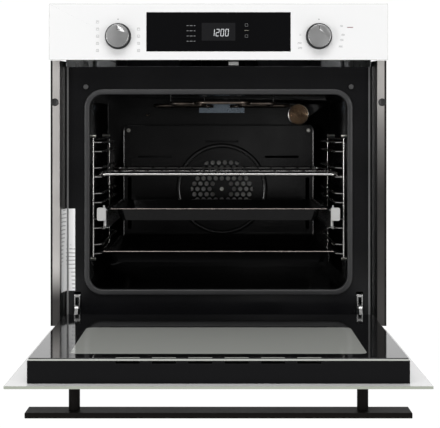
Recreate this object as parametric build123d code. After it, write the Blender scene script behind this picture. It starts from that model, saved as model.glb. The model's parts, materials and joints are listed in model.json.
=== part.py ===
from build123d import *

import math
import os

# Built-in electric oven for a 560 mm wide kitchen niche, drop-down door shown open.
# Frame: X to the right, Y into the cabinet, Z up, millimetres.
# Origin: centre of the width, on the cabinet's front plane, under the base plate.

# Overall sizes
FRONT_WIDTH = 594.0
FRONT_HEIGHT = 595.0
SIDE_MARGIN = 24.0
BODY_DEPTH = 546.0
TOP_DROP = 23.0
FRONT_PROUD = 21.0
SHEET = 1.0
GLASS = 4.0
GAP = 0.3

# Control panel
PANEL_HEIGHT = 98.6
WINDOW_WIDTH = 253.0
WINDOW_HEIGHT = 68.9
CARRIER_INSET = 4.0
KNOB_SPACING = 352.0
KNOB_DROP = 57.0
KNOB_PROUD = 20.0
KNOB_DIA = 39.6
SKIRT_DIA = 46.0
SKIRT_THICK = 4.0
SHAFT_DIA = 6.0
ENCODER_SIZE = 14.0

# Door
DOOR_GAP = 3.5
DOOR_BOTTOM = 5.0
PIVOT_Y = -12.5
PIVOT_Z = 24.3
DOOR_BOX_INSET = 29.8
DOOR_BOX_DEPTH = 32.0
DOOR_BOX_BOTTOM = 40.0
DOOR_BOX_DROP = 16.8
INNER_GLASS_BOTTOM = 70.0
INNER_GLASS_INSET = 1.7
TRIM_HEIGHT = 18.0
CHANNEL_WIDTH = 22.0
MIDDLE_GLASS_Y = -2.0
SPACER_INNER = 193.0
SPACER_WIDTH = 19.0
VENT_COUNT = 6
VENT_LENGTH = 33.4
VENT_PITCH = 50.7
VENT_DEPTH = 4.0

# Handle
HANDLE_LENGTH = 546.0
HANDLE_WIDTH = 41.0
HANDLE_THICK = 8.0
HANDLE_STANDOFF = 40.0
HANDLE_DROP = 51.7
POST_SPACING = 410.0
POST_DIA = 16.0
HANDLE_SCREW_DIA = 5.0

# Front frame, flanges and gasket
FRAME_SETBACK = 26.0
FLANGE_INNER = 17.0
FLANGE_FACE = -8.0
FLANGE_BOTTOM = 28.2
SCREW_INSET = 8.5
SCREW_HEIGHT = 422.7
SCREW_HOLE_DIA = 5.5
CAVITY_MARGIN = 35.0
CAVITY_FLOOR = 81.0
CAVITY_HEIGHT = 364.0
CAVITY_DEPTH = 438.0
CAVITY_RADIUS = 20.0
OPENING_LIP = 6.0
OPENING_RADIUS = 26.0
GASKET_WIDTH = 10.0
GASKET_LAP = 2.0
DUCT_FLOOR = 488.0
DUCT_HEIGHT = 34.0
DUCT_HALF = 183.0
DUCT_DEPTH = 270.0
INSULATION = 22.0

# Hinges
HINGE_X = 252.6
ARM_WIDTH = 6.0
ARM_HEIGHT = 10.0
ARM_RISE_Y = 15.0
ARM_RISE_Z = 56.0
ARM_END_Y = 84.0
EYE_RADIUS = 4.0
PIN_RADIUS = 2.0
HINGE_BODY_HEIGHT = 150.0
LEVER_Y = 22.6
LEVER_PIN = 1.2
LEVER_LENGTH = 22.0
BRIDGE_HALF = 0.9

# Racks, shelf, trays and runners
RACK_X = 226.0
RUNG_X = 211.0
RACK_FRONT = 40.0
RACK_REAR = 369.0
RACK_OVERRUN = 6.0
WIRE_DIA = 4.0
LEVEL_COUNT = 5
LEVEL_FIRST = 150.6
LEVEL_PITCH = 46.1
RUNG_GAP = 16.5
SHELF_HALF = 218.0
SHELF_FRONT = 42.0
SHELF_DEPTH = 372.0
SHELF_WIRE_DIA = 5.0
SHELF_BAR_DIA = 3.0
SHELF_BARS = 15
SHELF_LEVEL = 3
TRAY_LEVEL = 0
TRAY_HALF = 220.0
TRAY_FRONT = 46.0
TRAY_LENGTH = 366.0
MID_TRAY_HALF = 207.0
MID_TRAY_FRONT = 45.0
MID_TRAY_LENGTH = 320.0
TRAY_LIP = 20.0
TRAY_DEPTH = 22.0
TRAY_THICK = 1.0
RUNNER_LEVEL = 1
RUNNER_LENGTH = 330.0
MID_TRAY_Z = 231.0

# Back wall
FAN_X = 7.0
FAN_Z = 249.0
FAN_COVER_Y = 429.0
FAN_COVER_HALF = 202.0
FAN_COVER_BOTTOM = 112.0
FAN_COVER_TOP = 385.0
HOLE_DIA = 9.0
HOLE_PITCH = 12.9
HOLE_ROWS = 11
HUB_CLEAR = 13.0
IMPELLER_RADIUS = 66.0
RING_RADIUS = 84.0
TUBE_DIA = 6.6
LAMP_X = 170.0
LAMP_Z = 407.0
LAMP_DIA = 42.0
GRILL_Z = 424.0
SENSOR_X = -150.0
SENSOR_Z = 405.0

# Cooling fan and electronics
BLOWER_Y = 380.0
BLOWER_RADIUS = 56.0
BLOWER_HEIGHT = 32.0
BLOWER_WALL = 80.0
LIP_CLEARANCE = 1.0

# Supply connection
TERMINAL_X = 190.0
TERMINAL_WIDTH = 76.0
TERMINAL_HEIGHT = 46.0
GLAND_BORE = 9.0
TERMINAL_DROP = 42.0
GLAND_LENGTH = 18.0
REAR_STEP = 42.0
STEP_Z = 470.0

# Derived places
HALF = FRONT_WIDTH / 2
BODY_HALF = HALF - SIDE_MARGIN
BODY_TOP = FRONT_HEIGHT - TOP_DROP
PANEL_BOTTOM = FRONT_HEIGHT - PANEL_HEIGHT
PANEL_FRONT = -FRONT_PROUD
PANEL_BACK = PANEL_FRONT + GLASS
DOOR_TOP = PANEL_BOTTOM - DOOR_GAP
KNOB_Z = FRONT_HEIGHT - KNOB_DROP
DOOR_BOX_HALF = HALF - DOOR_BOX_INSET
DOOR_BOX_TOP = DOOR_TOP - DOOR_BOX_DROP
DOOR_BOX_BACK = PANEL_BACK + DOOR_BOX_DEPTH
DOOR_REAR = DOOR_BOX_BACK + GLASS
FRAME_BACK = FRAME_SETBACK + SHEET
CAVITY_HALF = BODY_HALF - CAVITY_MARGIN
CAVITY_TOP = CAVITY_FLOOR + CAVITY_HEIGHT
CAVITY_BACK = FRAME_BACK + CAVITY_DEPTH
OPENING_HALF = CAVITY_HALF - OPENING_LIP
OPENING_BOTTOM = CAVITY_FLOOR + OPENING_LIP
OPENING_TOP = CAVITY_TOP - OPENING_LIP
RUNG_RADIUS = WIRE_DIA / 2
HANDLE_Z = DOOR_TOP - HANDLE_DROP
MIDDLE_TOP = DOOR_BOX_TOP - TRIM_HEIGHT - 2
FLANGE_X = HALF - FLANGE_INNER
TERMINAL_Z = BODY_TOP - TERMINAL_DROP
LIP_BOTTOM = DUCT_FLOOR + DUCT_HEIGHT + SHEET + LIP_CLEARANCE
GLAND_Y = BODY_DEPTH - 20.0
RUNNER_Z = LEVEL_FIRST + LEVEL_PITCH * RUNNER_LEVEL + RUNG_GAP / 2


def box(x0, x1, y0, y1, z0, z1):
    """A block between two opposite corners."""
    block = Box(x1 - x0, y1 - y0, z1 - z0, align=(Align.MIN, Align.MIN, Align.MIN))
    return Pos(x0, y0, z0) * block


def plate(sketch, y0, y1):
    """A sketch drawn in X and Z, given thickness from y0 to y1."""
    return Pos(0, y1, 0) * Rot(90, 0, 0) * extrude(sketch, amount=y1 - y0)


def rod_y(radius, x, z, y0, y1):
    """A round bar along Y."""
    return Pos(x, (y0 + y1) / 2, z) * Rot(90, 0, 0) * Cylinder(radius, y1 - y0)


def rod_x(radius, y, z, x0, x1):
    """A round bar along X."""
    return Pos((x0 + x1) / 2, y, z) * Rot(0, 90, 0) * Cylinder(radius, x1 - x0)


def rod_z(radius, x, y, z0, z1):
    """A round bar along Z."""
    return Pos(x, y, (z0 + z1) / 2) * Cylinder(radius, z1 - z0)


def tube_along(points, diameter, bend):
    """A round wire along straight runs with rounded corners."""
    path = FilletPolyline(*points, radius=bend)
    start = Plane(path @ 0, z_dir=path % 0)
    return sweep(start * Circle(diameter / 2), path=path)


def rounded(width, height, radius, x=0.0, z=0.0):
    """A rectangle with round corners, centred on x and z."""
    return Pos(x, z) * RectangleRounded(width, height, radius)


def opened(shape):
    """Turns a door piece drawn closed to the open position."""
    return Pos(0, PIVOT_Y, PIVOT_Z) * Rot(90, 0, 0) * Pos(0, -PIVOT_Y, -PIVOT_Z) * shape


def mirrored(shape):
    """The same piece on the other side of the oven."""
    return mirror(shape, about=Plane.YZ)


def save(name, *shapes):
    """Writes one node, which may hold several separate solids."""
    solids = []
    for shape in shapes:
        solids.extend(shape.solids())
    export_step(Compound(children=solids), f"parts/{name}.step")


def both(shape):
    """The right-hand piece and its mirror image."""
    return [shape, mirrored(shape)]


# Outer casing ---------------------------------------------------------------


def side_panel():
    """Casing side, stepped in at the top rear like the rear cover, with a grip hole and air slots."""
    panel = box(BODY_HALF - SHEET, BODY_HALF, FRAME_BACK, BODY_DEPTH - SHEET, SHEET, BODY_TOP - SHEET)
    panel -= box(BODY_HALF - 2, BODY_HALF + 1, BODY_DEPTH - REAR_STEP + SHEET, BODY_DEPTH, STEP_Z, BODY_TOP)
    grip = box(BODY_HALF - 2, BODY_HALF + 1, 255, 345, BODY_TOP / 2 - 12, BODY_TOP / 2 + 12)
    slots = [
        box(BODY_HALF - 2, BODY_HALF + 1, 380 + 14 * i, 386 + 14 * i, BODY_TOP - 70, BODY_TOP - 35)
        for i in range(8)
    ]
    return panel - grip - Compound(children=slots)


def top_cover():
    """Casing top with air slots over the cooling fan and a lip folded down in front."""
    rear = BODY_DEPTH - REAR_STEP
    cover = box(-BODY_HALF + SHEET, BODY_HALF - SHEET, FRAME_BACK + SHEET, rear, BODY_TOP - SHEET, BODY_TOP)
    for row in range(4):
        for x in (-110, -55, 15, 70):
            y = BLOWER_Y + 18 * row - 30
            cover -= box(x, x + 40, y, y + 6, BODY_TOP - 2, BODY_TOP + 1)
    lip = box(-BODY_HALF + SHEET, BODY_HALF - SHEET, FRAME_BACK, FRAME_BACK + SHEET, LIP_BOTTOM, BODY_TOP)
    return cover + lip


def rear_cover():
    """Back of the casing, stepped in at the top to leave room for the supply cable."""
    step_y = BODY_DEPTH - REAR_STEP
    lower = box(-BODY_HALF, BODY_HALF, BODY_DEPTH - SHEET, BODY_DEPTH, SHEET, STEP_Z)
    shelf = box(-BODY_HALF + SHEET, BODY_HALF - SHEET, step_y, BODY_DEPTH, STEP_Z - SHEET, STEP_Z)
    upper = box(-BODY_HALF + SHEET, BODY_HALF - SHEET, step_y, step_y + SHEET, STEP_Z - SHEET, BODY_TOP)
    cover = lower + shelf + upper
    for row in range(5):
        for x in (-180, -110, -40, 30):
            z = STEP_Z + 28 + 12 * row
            cover -= box(x, x + 50, step_y - 1, step_y + SHEET + 1, z, z + 5)
    window = (TERMINAL_X - 26, TERMINAL_X + 26, step_y - 1, step_y + SHEET + 1)
    cover -= box(*window, TERMINAL_Z - 12, TERMINAL_Z + 12)
    for side in (-1, 1):
        cover -= box(side * 205 - 30, side * 205 + 30, BODY_DEPTH - 2, BODY_DEPTH + 1, 60, 66)
    return cover


def base_plate():
    return box(-BODY_HALF, BODY_HALF, -2, BODY_DEPTH, 0, SHEET)


def terminal_box():
    """Moulded box in the rear recess, open towards the casing, with a side entry."""
    front = BODY_DEPTH - REAR_STEP + SHEET + GAP / 3
    back = BODY_DEPTH - 1
    half_w = TERMINAL_WIDTH / 2
    half_h = TERMINAL_HEIGHT / 2
    wall = 2.0
    shell = box(TERMINAL_X - half_w, TERMINAL_X + half_w, front, back,
                TERMINAL_Z - half_h, TERMINAL_Z + half_h)
    shell -= box(TERMINAL_X - half_w + wall, TERMINAL_X + half_w - wall, front + wall, back - wall,
                 TERMINAL_Z - half_h + wall, TERMINAL_Z + half_h - wall)
    shell -= box(TERMINAL_X - 26, TERMINAL_X + 26, front - 1, front + wall + 1,
                 TERMINAL_Z - 12, TERMINAL_Z + 12)
    entry = rod_x(GLAND_BORE / 2, GLAND_Y, TERMINAL_Z, TERMINAL_X - half_w - 1, TERMINAL_X - half_w + 4)
    return shell - entry


def cable_gland():
    """Sleeve beside the terminal box that the supply cable goes in through."""
    x1 = TERMINAL_X - TERMINAL_WIDTH / 2 - GAP / 3
    nut = Plane.YZ * RegularPolygon(11, 6)
    body = Pos(x1 - GLAND_LENGTH, GLAND_Y, TERMINAL_Z) * extrude(nut, amount=GLAND_LENGTH)
    return body - rod_x(GLAND_BORE / 2, GLAND_Y, TERMINAL_Z, x1 - GLAND_LENGTH - 1, x1 + 1)


# Front frame and cavity -----------------------------------------------------


def hinge_slot(x):
    return Pos(x, 62) * Rectangle(ARM_WIDTH + 6, 44)


def front_frame():
    top = DUCT_FLOOR - SHEET - GAP
    sketch = Pos(0, (FLANGE_BOTTOM + top) / 2) * Rectangle(2 * BODY_HALF, top - FLANGE_BOTTOM)
    height = OPENING_TOP - OPENING_BOTTOM
    centre = (OPENING_TOP + OPENING_BOTTOM) / 2
    sketch -= rounded(2 * OPENING_HALF, height, OPENING_RADIUS, 0, centre)
    sketch -= hinge_slot(HINGE_X) + hinge_slot(-HINGE_X)
    return plate(sketch, FRAME_SETBACK, FRAME_BACK)


def mounting_flange():
    """Folded side strip: cabinet face, step to the front and return wall."""
    top = PANEL_BOTTOM - GAP
    outer = box(HALF - 1 - SHEET, HALF - 1, FLANGE_FACE, 0, FLANGE_BOTTOM, top)
    face = box(FLANGE_X, HALF - 1, FLANGE_FACE, FLANGE_FACE + SHEET, FLANGE_BOTTOM, top)
    root_x = BODY_HALF + GAP / 3
    section = Polygon(
        (FLANGE_X, FLANGE_FACE),
        (FLANGE_X + SHEET, FLANGE_FACE),
        (root_x + SHEET, FRAME_BACK),
        (root_x, FRAME_BACK),
        align=None,
    )
    wall = Pos(0, 0, FLANGE_BOTTOM) * extrude(section, amount=top - FLANGE_BOTTOM)
    foot = box(root_x, root_x + SHEET, FRAME_BACK - SHEET, FRAME_BACK + 14, FLANGE_BOTTOM, top)
    hole = rod_y(SCREW_HOLE_DIA / 2, HALF - SCREW_INSET, SCREW_HEIGHT, FLANGE_FACE - 1, 1)
    return outer + face + wall + foot - hole


def cavity_shell():
    """Enamelled box behind the front frame, open at the front."""
    width = 2 * CAVITY_HALF
    centre = CAVITY_FLOOR + CAVITY_HEIGHT / 2
    outside = rounded(width + 2 * SHEET, CAVITY_HEIGHT + 2 * SHEET, CAVITY_RADIUS + SHEET, 0, centre)
    shell = plate(outside, FRAME_BACK, CAVITY_BACK + SHEET)
    shell -= plate(rounded(width, CAVITY_HEIGHT, CAVITY_RADIUS, 0, centre), FRAME_BACK - 1, CAVITY_BACK)
    shaft = rod_y(SHAFT_DIA, FAN_X, FAN_Z, CAVITY_BACK - 1, CAVITY_BACK + 2)
    lamp = rod_y(LAMP_DIA / 2 - 4, LAMP_X, LAMP_Z, CAVITY_BACK - 1, CAVITY_BACK + 2)
    legs = [
        rod_y(TUBE_DIA / 2 + GAP, x, z, CAVITY_BACK - 1, CAVITY_BACK + 2)
        for x, z in wall_leg_places()
    ]
    return shell - shaft - lamp - Compound(children=legs)


def wall_leg_places():
    """Where heating-element legs and the sensor pass through the back wall."""
    ring = [(FAN_X - 14, FAN_Z - RING_RADIUS - 14), (FAN_X + 14, FAN_Z - RING_RADIUS - 14)]
    grill = [(FAN_X - 20, GRILL_Z), (FAN_X + 20, GRILL_Z)]
    return ring + grill + [(SENSOR_X, SENSOR_Z)]


def cavity_gasket():
    """Soft seal round the opening, lapping its edge."""
    inner_half = OPENING_HALF - GASKET_LAP
    height = OPENING_TOP - OPENING_BOTTOM - 2 * GASKET_LAP
    centre = (OPENING_TOP + OPENING_BOTTOM) / 2
    radius = OPENING_RADIUS - GASKET_LAP
    outer_half = inner_half + GASKET_WIDTH
    outer = rounded(2 * outer_half, height + 2 * GASKET_WIDTH, radius + GASKET_WIDTH, 0, centre)
    ring = outer - rounded(2 * inner_half, height, radius, 0, centre)
    bead = plate(ring, DOOR_REAR + GAP, FRAME_SETBACK)
    return fillet(bead.faces().sort_by(Axis.Y)[0].edges(), 2.4)


def insulation():
    """Glass-wool slabs round the cavity."""
    gap = SHEET + GAP
    side = box(
        CAVITY_HALF + gap, CAVITY_HALF + gap + INSULATION, FRAME_BACK + 2, CAVITY_BACK - 2,
        CAVITY_FLOOR + 12, CAVITY_TOP,
    )
    top = box(-CAVITY_HALF, CAVITY_HALF, FRAME_BACK + 2, CAVITY_BACK - 2,
              CAVITY_TOP + gap, CAVITY_TOP + gap + INSULATION)
    bottom = box(-CAVITY_HALF, CAVITY_HALF, FRAME_BACK + 2, CAVITY_BACK - 2,
                 CAVITY_FLOOR - 18 - INSULATION, CAVITY_FLOOR - 18)
    back = box(-CAVITY_HALF, CAVITY_HALF, CAVITY_BACK + gap, CAVITY_BACK + gap + INSULATION,
               CAVITY_FLOOR, CAVITY_TOP)
    back -= rod_y(22, FAN_X, FAN_Z, CAVITY_BACK, CAVITY_BACK + 60)
    back -= rod_y(LAMP_DIA / 2 + 2, LAMP_X, LAMP_Z, CAVITY_BACK, CAVITY_BACK + 60)
    for x, z in wall_leg_places():
        back -= rod_y(TUBE_DIA, x, z, CAVITY_BACK, CAVITY_BACK + 60)
    return [side, mirrored(side), top, bottom, back]


# Back wall, fan, heaters and lamp -------------------------------------------


def perforations():
    """Staggered round holes in a hexagon, with a solid hub."""
    row_pitch = HOLE_PITCH * math.sqrt(3) / 2
    half_rows = HOLE_ROWS // 2
    holes = []
    for row in range(-half_rows, half_rows + 1):
        count = HOLE_ROWS - abs(row)
        for i in range(count):
            x = (i - (count - 1) / 2) * HOLE_PITCH
            z = row * row_pitch
            if math.hypot(x, z) > HUB_CLEAR:
                holes.append((x, z))
    return holes


def fan_cover():
    """Pressed, perforated sheet in front of the fan, with folded edges."""
    width = 2 * FAN_COVER_HALF
    height = FAN_COVER_TOP - FAN_COVER_BOTTOM
    centre = (FAN_COVER_TOP + FAN_COVER_BOTTOM) / 2
    face = rounded(width, height, 12, 0, centre)
    for x, z in perforations():
        face -= Pos(FAN_X + x, FAN_Z + z) * Circle(HOLE_DIA / 2)
    for side in (-1, 1):
        face -= Pos(side * (FAN_COVER_HALF - 68), FAN_Z + 68) * SlotOverall(72, 5)
        face -= Pos(side * (FAN_COVER_HALF - 14), FAN_Z - 30) * SlotOverall(110, 8, rotation=90)
    face -= Pos(FAN_X, FAN_Z + 101) * SlotOverall(70, 5)
    sheet = plate(face, FAN_COVER_Y, FAN_COVER_Y + SHEET)
    edge = rounded(width, height, 12, 0, centre)
    edge -= rounded(width - 2 * SHEET, height - 2 * SHEET, 11, 0, centre)
    rim = plate(edge, FAN_COVER_Y + SHEET, CAVITY_BACK - GAP)
    return sheet + rim


def fan_cover_screws():
    """Four screws at the fan cover's corners and one at its hub."""
    places = [
        (side * (FAN_COVER_HALF - 12), z)
        for side in (-1, 1)
        for z in (FAN_COVER_BOTTOM + 12, FAN_COVER_TOP - 12)
    ]
    places.append((FAN_X, FAN_Z))
    heads = []
    for x, z in places:
        head = rod_y(4, x, z, FAN_COVER_Y - 2.5, FAN_COVER_Y - 0.05)
        heads.append(head - box(x - 3, x + 3, FAN_COVER_Y - 3, FAN_COVER_Y - 1.8, z - 0.6, z + 0.6))
    return heads


def convection_fan():
    """Impeller with its shaft, between the cover and the back wall."""
    rear = CAVITY_BACK - 8
    front = FAN_COVER_Y + 9
    wheel = rod_y(IMPELLER_RADIUS, FAN_X, FAN_Z, rear - 1.2, rear)
    wheel += rod_y(11, FAN_X, FAN_Z, front, rear)
    for i in range(8):
        blade = box(14, IMPELLER_RADIUS - 2, front, rear - 1, -0.6, 0.6)
        wheel += Pos(FAN_X, 0, FAN_Z) * Rot(0, 45 * i + 10, 0) * blade
    wheel += rod_y(SHAFT_DIA / 2, FAN_X, FAN_Z, rear, CAVITY_BACK + 48)
    return wheel


def fan_motor():
    """Shaded-pole motor behind the cavity, with a bored bearing."""
    start = CAVITY_BACK + SHEET + 25
    body = rod_y(29, FAN_X, FAN_Z, start, start + 36)
    body += box(FAN_X - 38, FAN_X + 38, start + 8, start + 26, FAN_Z - 38, FAN_Z + 38)
    nose = rod_y(10, FAN_X, FAN_Z, start - 12, start)
    return body + nose - rod_y(SHAFT_DIA / 2 + 0.05, FAN_X, FAN_Z, start - 14, start + 24)


def ring_element():
    """Round heater about the fan, with two legs through the back wall."""
    y = (FAN_COVER_Y + CAVITY_BACK) / 2
    leg_x = 14.0
    start_angle = math.degrees(math.asin(leg_x / RING_RADIUS)) - 90
    arc = CenterArc((0, 0), RING_RADIUS, start_angle, 360 - 2 * (start_angle + 90))
    path = Pos(FAN_X, y, FAN_Z) * Rot(90, 0, 0) * arc
    plane = Plane(path @ 0, z_dir=path % 0)
    ring = sweep(plane * Circle(TUBE_DIA / 2), path=path)
    bottom = FAN_Z - RING_RADIUS - 14
    join_z = FAN_Z - math.sqrt(RING_RADIUS ** 2 - leg_x ** 2)
    for side in (-1, 1):
        x = FAN_X + side * leg_x
        ring += rod_z(TUBE_DIA / 2, x, y, bottom, join_z + 1)
        ring += Pos(x, y, bottom) * Sphere(TUBE_DIA / 2)
        ring += rod_y(TUBE_DIA / 2, x, bottom, y, CAVITY_BACK + 40)
    return ring


def grill_element():
    """Serpentine heater under the cavity roof."""
    half = [
        (20, CAVITY_BACK + 40), (20, CAVITY_BACK - 38), (138, CAVITY_BACK - 38),
        (138, CAVITY_BACK - 113), (34, CAVITY_BACK - 113), (34, CAVITY_BACK - 194),
        (98, CAVITY_BACK - 194), (98, CAVITY_BACK - 315), (45, CAVITY_BACK - 315),
        (45, CAVITY_BACK - 392),
    ]
    right = [(FAN_X + x, y, GRILL_Z) for x, y in half]
    left = [(FAN_X - x, y, GRILL_Z) for x, y in reversed(half)]
    return tube_along(right + left, TUBE_DIA, 13)


def grill_plate():
    """Galvanised plate on the back wall that carries the grill element."""
    face = Pos(FAN_X, GRILL_Z - 3) * Rectangle(97, 21)
    for side in (-1, 1):
        face -= Pos(FAN_X + side * 20, GRILL_Z) * Circle(TUBE_DIA / 2 + GAP)
    return plate(face, CAVITY_BACK - 2, CAVITY_BACK - GAP)


def element_hangers():
    """Wire hooks that hold the grill element to the roof."""
    hooks = []
    for x, y in ((-100, 240), (-36, 110), (36, 110), (100, 240)):
        stem = rod_z(1.2, FAN_X + x, CAVITY_BACK - y, GRILL_Z + TUBE_DIA / 2 + 1.5, CAVITY_TOP - 0.1)
        hooks.append(stem + Pos(FAN_X + x, CAVITY_BACK - y, CAVITY_TOP - 1.1) * Box(9, 9, 2))
    return hooks


def bottom_element():
    """Heater under the cavity floor."""
    z = CAVITY_FLOOR - SHEET - TUBE_DIA / 2 - 3
    points = [(40, CAVITY_BACK + 20), (40, CAVITY_BACK - 60), (150, CAVITY_BACK - 60), (150, FRAME_BACK + 60)]
    right = [(x, y, z) for x, y in points]
    left = [(-x, y, z) for x, y in reversed(points)]
    return tube_along(right + left, TUBE_DIA, 30)


def lamp_holder():
    """Ceramic lamp base through the back wall, with its front flange."""
    flange = rod_y(LAMP_DIA / 2 + 0.5, LAMP_X, LAMP_Z, CAVITY_BACK - 6, CAVITY_BACK - 0.2)
    body = rod_y(LAMP_DIA / 2 - 4.2, LAMP_X, LAMP_Z, CAVITY_BACK - 6, CAVITY_BACK + 34)
    bore = rod_y(7.2, LAMP_X, LAMP_Z, CAVITY_BACK - 7, CAVITY_BACK + 20)
    return flange + body - bore


def lamp_glass():
    """Domed glass cap over the bulb."""
    radius = LAMP_DIA / 2
    back = CAVITY_BACK - 6.1
    outer = rod_y(radius, LAMP_X, LAMP_Z, back - 22, back)
    outer = fillet(outer.edges().sort_by(Axis.Y)[0], 9)
    inner = rod_y(radius - 3, LAMP_X, LAMP_Z, back - 19, back + 1)
    inner = fillet(inner.edges().sort_by(Axis.Y)[0], 7)
    return outer - inner


def lamp_bulb():
    """Small halogen bulb with its cap in the holder's bore."""
    cap = rod_y(7, LAMP_X, LAMP_Z, CAVITY_BACK - 2, CAVITY_BACK + 19)
    glass = rod_y(6, LAMP_X, LAMP_Z, CAVITY_BACK - 20, CAVITY_BACK - 2)
    return cap + fillet(glass.edges().sort_by(Axis.Y)[0], 5)


def temperature_sensor():
    """Thin probe through the back wall near the roof."""
    probe = rod_y(2.5, SENSOR_X, SENSOR_Z, CAVITY_BACK - 70, CAVITY_BACK + 22)
    return fillet(probe.edges().sort_by(Axis.Y)[0], 2)


# Racks, shelf, trays and runners --------------------------------------------


def level_z(level):
    """Centre of a level's lower wire."""
    return LEVEL_FIRST + LEVEL_PITCH * level


def side_rack():
    """Right-hand wire rack: two uprights and a pair of rungs for each level."""
    low = LEVEL_FIRST - RACK_OVERRUN
    high = level_z(LEVEL_COUNT - 1) + RUNG_GAP + RACK_OVERRUN
    rack = rod_z(RUNG_RADIUS, RACK_X, RACK_FRONT, low, high)
    rack += rod_z(RUNG_RADIUS, RACK_X, RACK_REAR, low, high)
    for z in (low, high):
        rack += rod_y(RUNG_RADIUS, RACK_X, z, RACK_FRONT, RACK_REAR)
        for y in (RACK_FRONT, RACK_REAR):
            rack += Pos(RACK_X, y, z) * Sphere(RUNG_RADIUS)
    for level in range(LEVEL_COUNT):
        for z in (level_z(level), level_z(level) + RUNG_GAP):
            points = [
                (RACK_X, RACK_FRONT, z),
                (RUNG_X, RACK_FRONT + 12, z),
                (RUNG_X, RACK_REAR - 12, z),
                (RACK_X, RACK_REAR, z),
            ]
            rack += tube_along(points, WIRE_DIA, 5)
    return rack


def rack_studs():
    """Screws and bushes that hold the racks to the cavity walls."""
    low = LEVEL_FIRST - RACK_OVERRUN
    high = level_z(LEVEL_COUNT - 1) + RUNG_GAP + RACK_OVERRUN
    studs = []
    for side in (-1, 1):
        for y in (RACK_FRONT + 20, RACK_REAR - 20):
            for z in (low - RUNG_RADIUS - 3.2, high + RUNG_RADIUS + 3.2):
                near = side * (RACK_X - 3)
                wall = side * (CAVITY_HALF - 0.1)
                studs.append(rod_x(3, y, z, min(near, wall), max(near, wall)))
    return studs


def wire_grid(half, front, depth, z, bars):
    """Shelf with a thick outer frame and thin bars along its depth."""
    corner = 16.0
    sketch = Pos(0, front + depth / 2) * RectangleRounded(2 * half, depth, corner)
    frame_path = Pos(0, 0, z) * sketch.wire()
    start = Plane(frame_path @ 0, z_dir=frame_path % 0)
    frame = sweep(start * Circle(SHELF_WIRE_DIA / 2), path=frame_path)
    pitch = 2 * half / (bars + 1)
    for i in range(bars):
        x = -half + pitch * (i + 1)
        frame += rod_y(SHELF_BAR_DIA / 2, x, z + 0.6, front, front + depth)
    frame += rod_x(SHELF_WIRE_DIA / 2 - 0.5, front + depth / 2, z - 0.4, -half, half)
    return frame


def tray(half, front, depth, lip_z, wall_depth, lip):
    """Enamelled pan with sloped walls and a flat lip on its top."""
    outer = pan_body(half - lip, front + lip, depth - 2 * lip, lip_z, wall_depth, 0.0)
    inner = pan_body(half - lip, front + lip, depth - 2 * lip, lip_z, wall_depth, TRAY_THICK)
    rim = Pos(0, front + depth / 2, lip_z - TRAY_THICK) * extrude(
        RectangleRounded(2 * half, depth, 14), amount=TRAY_THICK
    )
    return rim + outer - inner


def pan_body(half, front, depth, top, fall, thick):
    """Tapered block: the pan's outside, or its inside when given a thickness."""
    lift = 1.0 if thick else 0.0
    slope = 8.0
    inside = RectangleRounded(2 * (half - thick), depth - 2 * thick, 12)
    upper = Pos(0, front + depth / 2, top + lift) * inside
    lower_z = top - fall + thick
    lower = Pos(0, front + depth / 2, lower_z) * RectangleRounded(
        2 * (half - thick - slope), depth - 2 * thick - 2 * slope, 10
    )
    return loft(Sketch() + [lower, upper])


def runner_rail():
    """Fixed channel clipped to the rack's pair of rungs."""
    y0 = RACK_FRONT + 16
    y1 = y0 + RUNNER_LENGTH - 24
    x1 = RUNG_X - RUNG_RADIUS - GAP
    web = box(x1 - SHEET, x1, y0, y1, RUNNER_Z - 8, RUNNER_Z + 12)
    foot = box(x1 - 9, x1, y0, y1, RUNNER_Z - 9, RUNNER_Z - 8)
    clips = [
        box(x1 - SHEET, RUNG_X + 3, y, y + 12, RUNNER_Z - 12.5, RUNNER_Z - 11)
        + box(x1 - SHEET, x1, y, y + 12, RUNNER_Z - 12, RUNNER_Z - 8)
        for y in (y0 + 20, y1 - 32)
    ]
    return web + foot + clips[0] + clips[1]


def runner_middle():
    """Ball-cage member that travels half as far as the carriage."""
    x1 = RUNG_X - RUNG_RADIUS - GAP - SHEET - GAP
    y0 = RACK_FRONT + 18
    y1 = y0 + RUNNER_LENGTH - 60
    return box(x1 - 2.4, x1, y0, y1, RUNNER_Z - 7.5, RUNNER_Z + 11)


def runner_carriage():
    """Moving channel with its front cap."""
    x1 = RUNG_X - RUNG_RADIUS - 2 * GAP - SHEET - 2.4 - GAP
    y0 = RACK_FRONT + 1.1
    y1 = y0 + RUNNER_LENGTH
    top = MID_TRAY_Z - TRAY_THICK - GAP / 3
    web = box(x1 - 1.6, x1, y0, y1, RUNNER_Z - 7, top)
    flange = box(x1 - 5, x1 - 1.6, y0, y1, top - 1.4, top)
    return web + flange


def runner_cap():
    """Moulded cap on the carriage's front end, with a stop pin."""
    x_mid = RUNG_X - 1.0
    body = box(x_mid - 8, x_mid + 8, RACK_FRONT - 10, RACK_FRONT + 1, MID_TRAY_Z - 20, MID_TRAY_Z + 3)
    body = fillet(body.edges().filter_by(Axis.Y), 3)
    tab = box(x_mid - 8, x_mid - 5, RACK_FRONT - 6, RACK_FRONT + 1, MID_TRAY_Z - 30, MID_TRAY_Z - 16)
    pin = rod_z(1.6, x_mid - 4, RACK_FRONT - 3, MID_TRAY_Z + 2, MID_TRAY_Z + 7)
    return body + tab + pin


# Cooling fan, duct and electronics ------------------------------------------


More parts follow.
